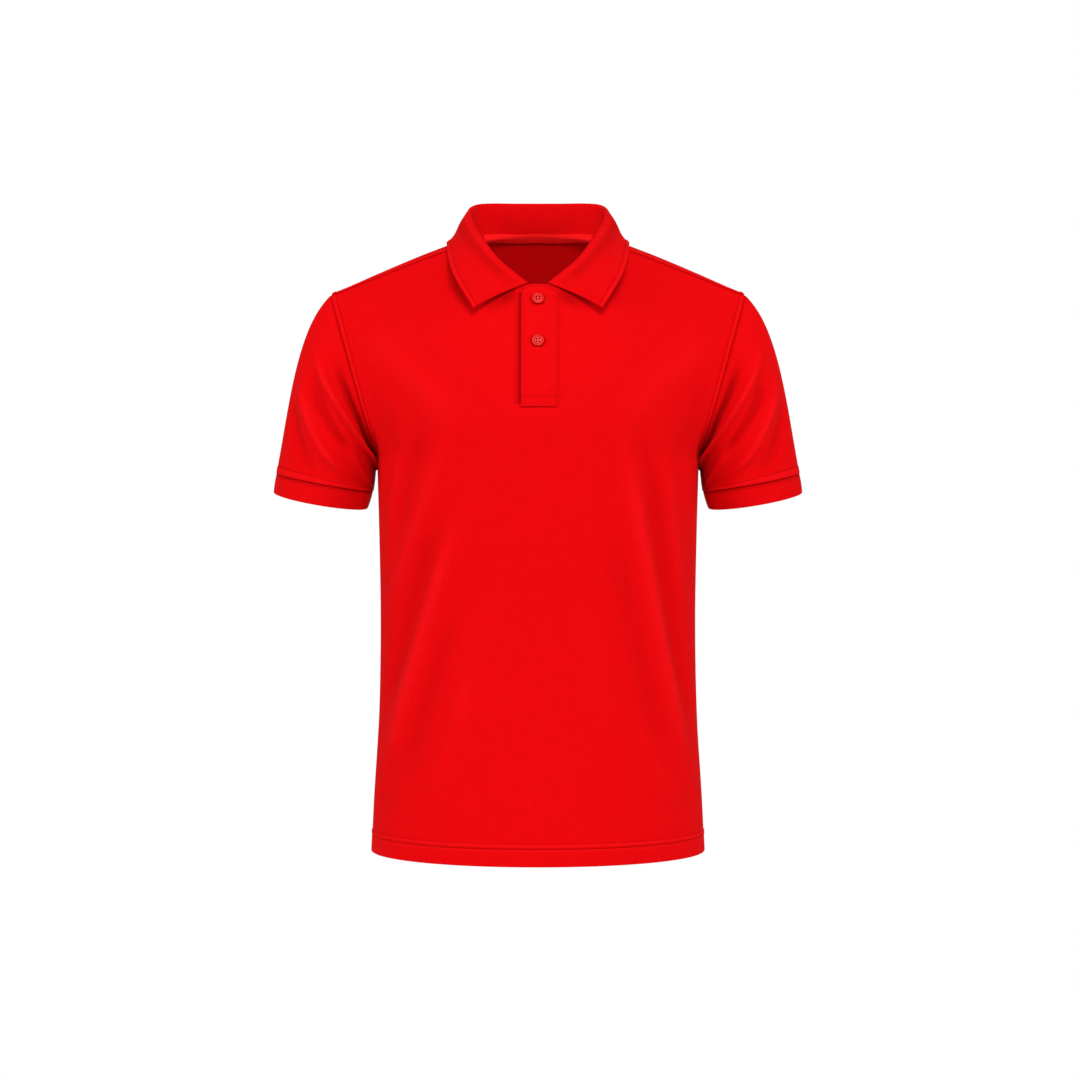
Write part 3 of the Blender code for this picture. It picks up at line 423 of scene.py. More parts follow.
torso = {
    "wall": 1.6, "hemRise": 0.45, "hemBulge": 0.45, "hemRows": (18.2, 23.7),
    "weltRise": 1.4, "weltWidth": 6.0, "weltLine": 5.2, "weltStitch": 4.9, "weltFade": 0.2, "stitchSink": 0.5,
    "columns": 60, "bodyRows": 96, "frontRows": (14, 30, 30), "backRows": (62, 28),
    "slotRight": 24.5, "slotLeft": 19.0, "slotBottom": -196.0, "backCentre": 10.0,
    "neckRow": -73.5, "backNeckRow": 0.76, "underarmBlend": 0.36, "quietEdge": 18.0,
    "hollowShade": 0.2, "ridgeShade": 0.5, "proudShade": 0.35,
    # where the painted shadow under the collar leaves lies
    "leafShade": {"top": -65.4, "start": 12.0, "slope": 0.465, "share": 0.8},
    # where rows and columns lie: up from the hem, down from the shoulder seam, in from a panel's edge
    "hemStops": (0.0, 0.4, 1.0, 2.2, 5.0, 10.0, 15.0, 17.0, 17.7, 18.2, 18.8, 19.6, 20.6, 21.8, 22.8, 23.4,
                 24.0, 24.6, 25.4, 26.6, 28.6),
    "seamStops": (12.0, 10.0, 8.4, 7.2, 6.6, 6.0, 5.6, 5.0, 4.2, 3.0, 1.8, 0.9, 0.3, 0.0),
    "edgeStops": (11.0, 9.0, 7.8, 7.0, 6.4, 6.0, 5.6, 5.0, 4.2, 3.0, 1.8, 0.9, 0.3, 0.0),
    "seamRows": (12, 8),
    # height, half width, front depth, back depth, fullness
    "sections": (
        (-686, 186, 128, 122, 0.57),
        (-630, 183.4, 124.5, 118, 0.58),
        (-545, 178.2, 119, 111, 0.60),
        (-430, 175.8, 117, 105, 0.62),
        (-340, 177.2, 122.5, 109.5, 0.63),
        (-252, 179.6, 127, 116, 0.63),
    ),
    # climb, centre y, centre z, reach in, reach out, turn, fall
    "frontYoke": (
        (0, -127, -252, 113, 80, 0, 0),
        (0.180, -128.8, -208, 96, 60, 25, 0.03),
        (0.360, -122.5, -160, 89, 54, 44, 0.10),
        (0.540, -109, -112, 84, 57, 57, 0.18),
        (0.665, -90, -73, 79, 61, 63, 0.24),
        (0.820, -60, -38, 70, 65, 71, 0.30),
        (1, -32, 2, 60, 67, 83, 0.362),
    ),
    "backYoke": (
        (0, 116, -252, 113, 73, 0, 0),
        (0.180, 119.4, -205, 91, 54, 38, 0.04),
        (0.360, 116, -150, 84, 53, 60, 0.12),
        (0.520, 104, -95, 81, 56, 67, 0.22),
        (0.660, 82, -40, 78, 62, 71, 0.30),
        (0.760, 58, 10, 73, 66, 77, 0.38),
        (0.860, 32, 16.2, 68, 68, 84, 0.43),
        (0.956, 2, 12.4, 64, 67, 90, 0.44),
        (1, -32, 2, 60, 67, 97, 0.362),
    ),
    # armhole seam from the underarm up to the shoulder point: x, y, z
    "frontArmhole": (
        (179.6, 0, -252),
        (180.3, -19, -243.5),
        (183, -37, -229),
        (188.6, -50, -208.5),
        (196.8, -54.5, -179.8),
        (206, -49, -149),
        (215.9, -36.5, -115.7),
        (224.4, -22.5, -88.5),
        (230.8, -9, -67.6),
    ),
    "backArmhole": (
        (179.6, 0, -252),
        (180.5, 21, -242.5),
        (183.4, 42, -227),
        (189, 57, -204),
        (196.3, 63.5, -175),
        (204.7, 61, -146.5),
        (213.2, 52, -119.5),
        (221.6, 36, -92.8),
        (228.3, 17.5, -71.5),
        (230.6, 3, -64.2),
        (230.8, -9, -67.6),
    ),
    # start x, start z, end x, end z, rise, half width, bow; ridges are plus, troughs minus
    "frontFolds": (
        (-146, -225, -163, -350, 3.4, 6.5, 0),
        (-120, -205, -162, -360, -4.2, 7, 0),
        (-92, -212, -172, -445, 4.4, 8, 0),
        (-100, -298, -179, -560, -5.4, 8.5, 1),
        (-76, -285, -172, -616, 6.8, 9, 2),
        (-84, -400, -152, -622, -4, 10, 0),
        (-66, -470, -124, -645, 2.4, 12, 0),
        (-150, -560, -172, -650, -2.4, 7, 0),
        (-36, -380, -96, -560, 1.8, 16, 4),
        (138, -236, 160, -430, 4.2, 7, 3),
        (110, -200, 176, -590, -5.4, 7.6, 4),
        (88, -204, 169, -616, 6.8, 8.6, 4),
        (70, -300, 148, -625, -3.4, 11, 0),
        (106, -520, 150, -650, 2.8, 10, 0),
        (40, -400, 84, -560, 1.5, 16, -3),
        (-206, -104, -78, -236, 3.8, 19, -6),
        (204, -110, 84, -232, 3.6, 19, 6),
        (-190, -150, -134, -276, -2.4, 12, 6),
        (188, -156, 138, -268, -2.2, 12, -6),
        (-40, -205, 30, -214, 1, 10, 0),
    ),
    "backFolds": (
        (-58, -330, -152, -566, 6.2, 17, 4),
        (-122, -276, -160, -482, -5.1, 13, 3),
        (-30, -380, -112, -560, -3.2, 17, -3),
        (66, -348, 158, -592, 5.9, 16, -4),
        (120, -268, 156, -452, -5.1, 14, -2),
        (34, -402, 122, -604, -3, 16, 2),
        (-176, -150, -66, -232, 4.1, 17, 5),
        (176, -158, 78, -228, 4.1, 16, -5),
        (-188, -262, -92, -250, -3.2, 12, 2),
        (188, -258, 84, -244, -3, 12, 0),
        (-24, -60, 30, -66, 1.4, 13, 0),
        (-150, -610, -96, -654, 2.2, 12, 0),
        (104, -606, 150, -650, -2.2, 12, 0),
    ),
}
neck = {"halfWidth": 76.0, "frontLow": -77.0, "frontFullness": 1.75,
        "backStart": 10.0, "backReach": 48.0, "backFullness": 2.3, "standStart": 11.0}
frontSeam = withShares(torso["frontArmhole"])
backSeam = withShares(torso["backArmhole"])


def underarmHandles(side, deep):
    points = [np.array(point) for point in rowControls(side, 1.0)]
    ts = np.linspace(0.5, 1.0, 201)
    t = float(np.interp(-deep, -np.abs(bezier(points, ts)[:, 1]), ts))
    first, second, third = (a + (b - a) * t for a, b in zip(points, points[1:]))
    fourth, fifth = first + (second - first) * t, second + (third - second) * t
    return first[0], (fourth - fifth) * t


def rowControls(side, level):  # 0 to 1 is hem to underarm, 1 to 2 underarm to shoulder seam
    if level <= 1.0:
        hem, underarm = torso["sections"][0][0], torso["sections"][-1][0]
        height = hem + (underarm - hem) * level
        halfWidth, frontDepth, backDepth, fullness = between(torso["sections"], height)
        depth = frontDepth if side == front else backDepth
        return ((0.0, side * depth, height), (fullness * halfWidth, side * depth, height),
                (halfWidth, side * fullness * depth, height), (halfWidth, 0.0, height))
    climb = level - 1.0
    table, seam = (torso["frontYoke"], frontSeam) if side == front else (torso["backYoke"], backSeam)
    centreY, centreZ, reachIn, reachOut, turn, fall = between(table, climb)
    x, y, z = between(seam, climb)
    inward = math.sin(math.radians(turn)) * reachOut
    along = math.cos(math.radians(turn)) * reachOut
    own = float(smooth(climb / torso["underarmBlend"]))
    baseIn, baseOut = underarmHandles(side, abs(y))
    leave = (1 - own) * baseOut + own * np.array([-inward, side * along, fall * inward])
    return ((0.0, centreY, centreZ), (baseIn + (reachIn - baseIn) * own, centreY, centreZ),
            tuple(np.array([x, y, z]) + leave), (x, y, z))


def rowLine(side, level):
    return bezier(rowControls(side, level), np.linspace(0.0, 1.0, 801))


def rowAt(side, level, wanted):
    line = rowLine(side, level)
    return np.column_stack([np.interp(wanted, line[:, 0], line[:, axis]) for axis in range(3)])


sideNeckHeight = rowAt(front, 2.0, [neck["halfWidth"]])[0][2]
centreLevels = np.linspace(0.0, 1.75, 1401)
centreHeights = np.array([rowControls(front, level)[0][2] for level in centreLevels])


def centreLevel(height):  # level of the front row whose centre point is at a height
    return float(np.interp(height, centreHeights, centreLevels))


def frontNeckHeight(x):
    share = np.clip(x / neck["halfWidth"], 0.0, 1.0)
    bow = 1 - (1 - share ** neck["frontFullness"]) ** (1 / neck["frontFullness"])
    return neck["frontLow"] + (sideNeckHeight - neck["frontLow"]) * bow


def backNeckWidth(y):
    deep = np.clip((y - neck["backStart"]) / neck["backReach"], 0.0, 1.0)
    return neck["halfWidth"] * (1 - deep ** neck["backFullness"]) ** (1 / neck["backFullness"])


def halfRow(side, level, slot):  # one row of a half panel, closer together near its edge
    line = rowLine(side, level)
    x, y, z = line.T
    if level >= 2.0:
        inPanel = x >= neck["halfWidth"]
    elif side == front:
        inPanel = (z <= frontNeckHeight(x)) | (x >= neck["halfWidth"])
    else:
        inPanel = x >= backNeckWidth(y)
    line = line[int(np.argmax(inPanel & (x >= slot))):]
    walked = walk(line)
    edge = walked[-1] - np.array(torso["edgeStops"])
    stops = np.append(np.linspace(0.0, edge[0], torso["columns"])[:-1], edge)
    return spread(stops, walked, line)


class Panel:
    def __init__(self, side, slots, inside, folds):
        self.side = side
        self.levels, self.openRow, self.neckRow = self.makeRows()
        right, left = (np.array([halfRow(side, level, slot) for level in self.levels]) for slot in slots)
        stops = np.linspace(-slots[0], slots[1], inside + 2)[1:-1]
        middle = np.array([rowAt(side, level, np.abs(stops)) for level in self.levels])
        middle[..., 0] = stops
        self.grid = np.concatenate([right[:, ::-1] * (-1, 1, 1), middle, left], axis=1)
        self.rightStart = right.shape[1] - 1
        self.leftStart = self.rightStart + inside + 1
        self.middle = (self.rightStart + self.leftStart) // 2
        self.raiseFolds(folds)
        self.seamRows()
        self.outward = gridNormals(self.grid) * -side
        self.shift = np.zeros_like(self.grid)
        self.pit = int(np.argmin(np.abs(self.levels - 1.0)))

    def makeRows(self):
        tall = torso["sections"][-1][0] - torso["sections"][0][0]
        hem = np.array(torso["hemStops"])
        body = np.append(hem / tall, np.linspace(hem[-1] / tall, 1.0, torso["bodyRows"])[1:])
        if self.side == front:
            stops = (1.0, centreLevel(torso["slotBottom"]), centreLevel(torso["neckRow"]), 2.0)
            counts = torso["frontRows"]
        else:
            stops, counts = (1.0, 1.0 + torso["backNeckRow"], 2.0), torso["backRows"]
        yoke = [np.linspace(low, high, count + 1)[1:] for low, high, count in zip(stops, stops[1:], counts)]
        return (np.concatenate([body] + yoke), len(body) + counts[0] - 1,
                len(body) + sum(counts[:-1]) - 1)

    def raiseFolds(self, folds):
        outward = gridNormals(self.grid) * -self.side
        lift = foldLift(folds, self.grid[..., 0], self.grid[..., 2])
        for edge in (0, -1):
            away = np.linalg.norm(self.grid - self.grid[:, edge][:, None], axis=-1)
            lift = lift * smooth(away / torso["quietEdge"])
        # painted shade in the fold troughs and painted highlight on the ridges
        self.hollow = foldShade(lift, torso["hollowShade"], torso["ridgeShade"])
        self.grid = self.grid + outward * lift[..., None]

    def seamRows(self):  # rows at fixed distances below the shoulder seam
        stops = np.array(torso["seamStops"])
        count, blend = torso["seamRows"]  # rows that go, and steps from the last row kept to the new ones
        tail, low = self.grid[-count:], self.grid[:-count]
        rows = np.stack([spread(stops, walk(line), line) for line in tail[::-1].transpose(1, 0, 2)], axis=1)
        fill = [self.slide(tail, low[-1], rows[0], step / blend) for step in range(1, blend)]
        added = blend - 1 + len(stops)
        self.grid = np.concatenate([low, fill, rows])
        self.hollow = np.concatenate([self.hollow[:-count], np.repeat(self.hollow[-count][None], added, 0)])
        levels = self.levels[:-count]
        self.levels = np.concatenate([levels, np.linspace(levels[-1], 2.0, added + 1)[1:]])
        self.strap = np.arange(len(self.grid))[:, None] >= len(self.grid) - len(stops)
        self.welted = smooth((self.levels - 1.0) / torso["weltFade"])[:, None]

    def slide(self, tail, base, top, share):
        row = np.zeros_like(base)
        for column in range(base.shape[0]):
            line = np.concatenate([[base[column]], tail[:, column]])
            walked = walk(line)
            reach = walked[-1] - np.linalg.norm(top[column] - tail[-1, column])
            row[column] = spread([reach * share], walked, line)[0]
        return row

    def distances(self):  # up from the hem, in from the nearer edge, down from the shoulder seam
        height = self.grid[..., 2] - self.grid[:1, :, 2]
        return height, sideDistance(self.grid), rowDistance(self.grid, -1)

    def rise(self):  # thickness added outside: turned hem, armhole welts and shoulder strip
        height, edge, down = self.distances()
        low, high = torso["hemRows"]
        width, line, sink = torso["weltWidth"], torso["weltLine"], torso["stitchSink"]
        rise = torso["hemRise"] * (1 - smooth((height - high + 0.3) / 1.4))
        rise = rise + dome(height - low, high - low, torso["hemBulge"])
        rise += groove(height, low, sink) + groove(height, high, sink)
        welt = dome(edge, width, torso["weltRise"]) + groove(edge, line, sink)
        rise = rise + welt * self.welted * (1 - 0.5 * bell(down, 0.0, 8.0))
        if self.side == front:
            return rise + groove(down, 0.0, 0.9, 1.9)
        strip = dome(down, width, torso["weltRise"]) + groove(down, line, sink)
        strip = strip * smooth(edge / 1.5) + (rise - strip) * smooth((down - edge) / 1.5)
        return np.where(self.strap, strip, rise)

    def shade(self):  # painted shading: painted shade along seams and stitches, painted highlight on what stands proud
        height, edge, down = self.distances()
        low, high = torso["hemRows"]
        width, line = torso["weltWidth"], torso["weltLine"]
        deep = 0.75 * bell(edge, line, 0.7) * self.welted + 0.6 * bell(edge, 0.0, 1.1)
        deep = deep + 0.55 * bell(height, low + 0.9, 1.1) + 0.35 * bell(height, high, 0.7)
        proud = dome(edge, width, 1.0) * self.welted
        proud = proud + 1.5 * bell(height, high - 1.8, 1.2) + 0.8 * bell(height, low - 1.4, 1.2)
        if self.side == front:
            deep = deep + 0.6 * bell(down, 0.0, 1.3) + self.leafShade()
        else:
            seam = 0.6 * bell(down, line, 0.7) + 0.5 * bell(down, 0.0, 0.6)
            deep = deep + np.where(self.strap, seam, 0.0)
            proud = np.where(self.strap, dome(down, width, 1.0), proud)
        return self.hollow + deep - torso["proudShade"] * proud

    def leafShade(self):  # painted shadow under the front edge of each collar leaf, beside the placket
        leaf = torso["leafShade"]
        x = np.abs(self.grid[..., 0])
        below = leaf["top"] - (x - leaf["start"]) * leaf["slope"] - self.grid[..., 2]
        return leaf["share"] * bell(below, 5.0, 7.0) * bell(x, 32.0, 11.0)

    def thin(self):  # rounds the hem and eases the seams
        height, edge = self.distances()[:2]
        return rounded(height, 1.0), seams["sink"] * bell(edge, 0.0, seams["sinkWidth"])

    def kept(self):
        cells = np.ones((self.grid.shape[0] - 1, self.grid.shape[1] - 1), bool)
        cells[self.openRow:, self.rightStart:self.leftStart] = False
        return cells

    def place(self, rows, columns, outward, into):
        self.outward[rows, columns] = outward
        self.shift[rows, columns] += into * seams["gap"] / 2

    def off(self, rows, columns, beside):
        return self.grid[np.asarray(rows) - 1, beside] - self.grid[rows, columns]


frontPanel = Panel(front, (torso["slotRight"], torso["slotLeft"]), 8, torso["frontFolds"])
backPanel = Panel(back, (torso["backCentre"], torso["backCentre"]), 1, torso["backFolds"])
panels = (frontPanel, backPanel)


def joinPanels(frontAt, backAt, frontBeside, backBeside):  # each is a pair of rows and columns
    outward, one, other = seamFrame(
        frontPanel.grid[frontAt], frontPanel.grid[frontBeside] - frontPanel.grid[frontAt],
        backPanel.grid[backBeside] - backPanel.grid[backAt],
        frontPanel.outward[frontAt], backPanel.outward[backAt])
    frontPanel.place(*frontAt, outward, one)
    backPanel.place(*backAt, outward, other)


sideRows = np.arange(frontPanel.pit + 1)
for edge, beside in ((0, 1), (-1, -2)):
    joinPanels((sideRows, edge), (sideRows, edge), (sideRows, beside), (sideRows, beside))
leftColumns = [np.arange(panel.leftStart, panel.grid.shape[1]) for panel in panels]
rightColumns = [np.arange(panel.rightStart + 1) for panel in panels]
for frontColumns, backColumns in (leftColumns, rightColumns):
    joinPanels((-1, frontColumns), (-1, backColumns), (-3, frontColumns), (-3, backColumns))


# Sleeves: rings of points from the armhole down to the cuff seam.

sleeveValues = {
    "wall": 1.6, "band": 7.0, "bandLine": 6.7, "bandRise": 0.6, "flatter": 0.65, "rows": 52,
    "girth": 330.0, "length": 150.0, "lean": 1.2, "softReach": 0.13, "softWidth": 0.035,
    "startStops": (0.0, 0.5, 1.4, 2.6, 4.4),
    "endStops": (12.0, 10.4, 9.6, 9.0, 8.4, 7.8, 7.3, 6.9, 6.3, 5.0, 3.0, 1.2, 0.5, 0.0),
    "armpitShade": 0.7, "hollowShade": 0.33, "ridgeShade": 0.45,
    # outer x, outer z, inner x, inner z, half depth, front drop
    "end": (292.5, -264.5, 184.4, -284.7, 51, 4),
    # around, x, y, z, reach, settle
    "sections": (
        (0, 0.76, 0, -0.65, 54, 67),
        (0.125, 0.80, -0.25, -0.55, 50, 60),
        (0.250, 0.60, -0.20, -0.77, 40, 45),
        (0.375, 0.35, 0.05, -0.93, 22, 25),
        (0.500, 0.25, 0, -0.97, 11, 11),
        (0.625, 0.35, -0.05, -0.93, 22, 25),
        (0.750, 0.55, 0.10, -0.83, 40, 45),
        (0.875, 0.78, 0.20, -0.60, 50, 60),
        (1, 0.76, 0, -0.65, 54, 67),
    ),
    # shares of the way round and down: start, end, rise, half width, bow
    "folds": (
        (0.05, 0.24, 0.54, 0.24, 7.6, 6.8, -8),
        (0.13, 0.10, 0.61, 0.06, -9.5, 7.2, -6),
        (0.11, 0.33, 0.37, 0.56, -5.6, 7, -6),
        (0.06, 0.42, 0.34, 0.92, 6.2, 7.4, 2),
        (0.05, 0.58, 0.25, 0.97, -4.6, 7, 0),
        (0.30, 0.46, 0.46, 0.96, 3.6, 7.5, 0),
        (0.95, 0.23, 0.47, 0.24, 6.6, 7.4, 7),
        (0.87, 0.10, 0.40, 0.08, -8.2, 7.4, 6),
        (0.90, 0.36, 0.64, 0.58, -4.8, 7.4, 5),
        (0.93, 0.46, 0.68, 0.92, 5.2, 8, -3),
        (0.68, 0.52, 0.56, 0.90, 3.2, 8, 0),
    ),
}
cuffValues = {"wall": 1.8, "tuck": 1.0, "belly": 0.5, "width": 20.0,
              "shares": (0.0, 0.1, 0.25, 0.4, 0.55, 0.7, 0.82, 0.9, 0.95, 0.98, 1.0),
              "end": (295.7, -286.2, 190.8, -304.8, 49.5, 6.3)}


def endPoint(end, turn, sign):
    outerX, outerZ, innerX, innerZ, halfDepth, frontDrop = end
    across, forward = math.cos(math.tau * turn), math.sin(math.tau * turn)
    x = (outerX + innerX) / 2 + (outerX - innerX) / 2 * across
    z = (outerZ + innerZ) / 2 + (outerZ - innerZ) / 2 * across - frontDrop * forward
    return np.array([sign * x, -halfDepth * forward, z])


class Sleeve:
    def __init__(self, sign, frontPanel, backPanel):
        self.sign = sign
        edge, beside = (-1, -3) if sign > 0 else (0, 2)
        frontRows = np.arange(len(frontPanel.levels) - 1, frontPanel.pit - 1, -1)
        backRows = np.arange(backPanel.pit + 1, len(backPanel.levels) - 1)
        ring = np.concatenate([frontPanel.grid[frontRows, edge], backPanel.grid[backRows, edge]])
        frontShare = withShares(frontPanel.grid[frontRows, edge])[:, 0]
        backShare = withShares(backPanel.grid[backPanel.pit:, edge])[1:-1, 0]
        self.around = np.concatenate([frontShare, 1.0 + backShare]) / 2
        self.shape(ring)
        into = np.concatenate([frontPanel.off(frontRows, edge, beside),
                               backPanel.off(backRows, edge, beside)])
        out = np.concatenate([frontPanel.outward[frontRows, edge], backPanel.outward[backRows, edge]])
        looped = [np.concatenate([part[-1:], part, part[:1]]) for part in
                  (ring, into, self.grid[2] - self.grid[0], out, self.outward[0])]
        outward, body, sleeve = (part[1:-1] for part in seamFrame(*looped))
        count = len(frontRows)
        frontPanel.place(frontRows, edge, outward[:count], body[:count])
        backPanel.place(backRows, edge, outward[count:], body[count:])
        backPanel.place(-1, edge, outward[0], body[0])
        backPanel.place(backPanel.pit, edge, outward[count - 1], body[count - 1])
        self.outward[0] = outward
        self.grid[0] += sleeve * seams["gap"] / 2

    def shape(self, ring):
        values = sleeveValues
        ends, starts = (np.array(values[key]) / values["length"] for key in ("endStops", "startStops"))
        middle = np.linspace(starts[-1], 1.0 - ends[0], values["rows"])[1:-1]
        self.downs = np.concatenate([starts, middle, 1.0 - ends])
        self.grid = np.zeros((len(self.downs), len(ring), 3))
        for column, (turn, start) in enumerate(zip(self.around, ring)):
            x, y, z, reach, settle = between(values["sections"], turn)
            leave = unit(np.array([self.sign * x, y, z]))
            end = endPoint(values["end"], turn, self.sign)
            arrive = endPoint(cuffValues["end"], turn, self.sign) - end
            arrive[0] += self.sign * values["lean"] * math.cos(math.tau * turn)
            arrive = unit(arrive)
            controls = (start, start + leave * reach, end - arrive * settle, end)
            self.grid[:, column] = bezier(controls, self.downs)
        self.softenTop()
        outward = gridNormals(self.grid, closed=True) * self.sign
        scale = np.array([values["girth"], values["length"]])
        folds = [(*(fold[:2] * scale), *(fold[2:4] * scale), *fold[4:]) for fold in values["folds"]]
        lift = foldLift(folds, self.around[None, :] * scale[0], self.downs[:, None] * scale[1])
        # painted shade in the fold troughs and painted highlight on the ridges
        self.hollow = foldShade(lift, values["hollowShade"], values["ridgeShade"])
        quiet = np.clip(self.downs / 0.12, 0.0, 1.0) * np.clip((1 - self.downs) / 0.2, 0.0, 1.0)
        self.grid = self.grid + outward * (lift * quiet[:, None])[..., None]
        self.outward = gridNormals(self.grid, closed=True) * self.sign

    def distances(self):  # up from the cuff seam and down from the armhole
        return (1 - self.downs) * sleeveValues["length"], self.downs * sleeveValues["length"]

    def rise(self):  # thickness added outside at the turned band, and taken off where seams pull
        up, down = self.distances()
        band = sleeveValues["band"]
        turned = sleeveValues["bandRise"] * (1 - smooth((up - band) / 1.2)) + dome(up, band, 0.5)
        pulled = groove(up, sleeveValues["bandLine"], 0.5) + groove(down, 0.0, 1.1, 2.2)
        return turned[:, None] * self.flush() + pulled[:, None]

    def shade(self):  # painted shading: painted shade in the armpit and along seams, painted highlight on the turned band
        up, down = self.distances()
        paintedArmpitShade = sleeveValues["armpitShade"] * bell(self.around, 0.47, 0.10)
        paintedArmpitShade = paintedArmpitShade * smooth((up + 14.0) / 40.0)[:, None]
        proud = 0.4 * dome(up, sleeveValues["band"] - 0.8, 1.0)
        seamed = 0.7 * bell(up, sleeveValues["bandLine"], 0.7) + 0.6 * bell(down, 0.0, 1.5)
        return self.hollow + paintedArmpitShade + (seamed - proud)[:, None]

    def softenTop(self):  # rounds the ridge that runs down the sleeve from the shoulder point
        turn = (self.around + 0.5) % 1.0 - 0.5
        width = (np.roll(self.around, -1) - np.roll(self.around, 1)) % 1.0
        softened = self.grid.copy()
        for column in np.nonzero(np.abs(turn) < sleeveValues["softReach"])[0]:
            away = turn - turn[column]
            weights = width * bell(turn, turn[column], sleeveValues["softWidth"])
            powers = np.stack([np.ones_like(away), away, away * away])
            share = np.linalg.solve((powers * weights) @ powers.T, powers * weights)[0]
            eased = np.einsum("k,rkx->rx", share, self.grid)
            blend = smooth(1.6 * (1 - abs(turn[column]) / sleeveValues["softReach"]))
            blend = blend * smooth(self.downs / 0.08)[:, None]
            softened[:, column] += (eased - self.grid[:, column]) * blend
        self.grid = softened

    def flush(self):  # share of the turned band's height, lower on the outer and inner sides
        return 1 - sleeveValues["flatter"] * np.abs(np.cos(math.tau * self.around)) ** 6

    def cuff(self):
        seam = self.grid[-1] - self.outward[-1] * cuffValues["tuck"] * self.flush()[:, None]
        low = np.array([endPoint(cuffValues["end"], turn, self.sign) for turn in self.around])
        seam = seam + unit(low - seam) * seams["gap"]
        shares = np.array(cuffValues["shares"])
        grid = np.array([seam + (low - seam) * share for share in shares])
        belly = np.sin(np.pi * shares) * cuffValues["belly"]
        outward = gridNormals(grid, closed=True) * self.sign
        grid = grid + outward * belly[:, None, None]
        return grid, outward, rounded((1 - shares) * cuffValues["width"], 1.4)


sleeves = {"right": Sleeve(-1, frontPanel, backPanel), "left": Sleeve(1, frontPanel, backPanel)}
print("panels and sleeves shaped")


# Collar: stand, fold and leaf along the neck seam.

collarValues = {
    "wall": 1.8, "foldRadius": 1.8, "leafBow": 1.7, "standSteps": 8, "foldSteps": 9, "leafSteps": 16,
    "border": 5.0, "borderRise": 0.45, "leafRoll": 1.8, "shortLeaf": 16.0,
    "bandShade": 0.42, "foldBright": 0.45, "borderBright": 0.35,
    "edgeStops": (7.0, 6.2, 5.6, 5.2, 4.8, 4.2, 3.2, 2.0, 1.0, 0.5, 0.15, 0.0),  # distances in from the edge
    # share, fold x, y, z, edge x, y, z
    "sections": (
        (0, 12, -86, -65.4, 69.2, -104, -92),
        (0.070, 26.5, -79, -53.5, 78.8, -98, -76.5),
        (0.170, 43.5, -67, -38, 90.2, -81.5, -56),
        (0.315, 60.5, -44, -14, 98.2, -50, -31),
        (0.416, 69.8, -25, 1.5, 100.6, -22, -15),
        (0.504, 75.2, -7, 14.5, 101, 2, -7.5),
        (0.583, 77.6, 10, 25, 97.5, 22, -6),
        (0.656, 76, 27, 33.5, 88, 42, -5),
        (0.724, 68, 42, 39.5, 74, 56, -3),
        (0.785, 55, 50.5, 41.8, 58, 63, -1),
        (0.884, 30, 55.5, 42.5, 31, 68.5, 0.5),
        (1, 0, 57, 42.7, 0, 70, 1),
    ),
}


def neckHalf(sign):
    start, beside = ((frontPanel.leftStart, backPanel.leftStart), 1) if sign > 0 else (
        (frontPanel.rightStart, backPanel.rightStart), -1)
    frontRows = np.arange(frontPanel.neckRow, len(frontPanel.levels))
    backRows = np.arange(len(backPanel.levels) - 2, backPanel.neckRow - 1, -1)
    seam = np.concatenate([frontPanel.grid[frontRows, start[0]], backPanel.grid[backRows, start[1]]])
    into = np.concatenate([frontPanel.off(frontRows, start[0], start[0] + beside),
                           backPanel.off(backRows, start[1], start[1] + beside)])
    out = np.concatenate([frontPanel.outward[frontRows, start[0]], backPanel.outward[backRows, start[1]]])
    return frontRows, backRows, start, seam, into, out


def neckSeam():
    parts = []
    for sign in (-1, 1):
        seam, into, out = neckHalf(sign)[3:]
        row, middle = frontPanel.neckRow, frontPanel.middle
        end = rowAt(front, frontPanel.levels[row], [neck["standStart"]])[0] * (sign, 1, 1)
        below = frontPanel.grid[row - 1, middle] - frontPanel.grid[row, middle]
        half = [np.concatenate([[first], rest]) for first, rest in
                ((end, seam), (below, into), (frontPanel.outward[row, middle], out))]
        parts.append(half if sign < 0 else [piece[::-1] for piece in half])
    row, middle = backPanel.neckRow, backPanel.middle
    centre = (backPanel.grid[row, middle], backPanel.grid[row - 1, middle] - backPanel.grid[row, middle],
              backPanel.outward[row, middle])
    return [np.concatenate([one, [mid], other]) for one, mid, other in zip(parts[0], centre, parts[1])]


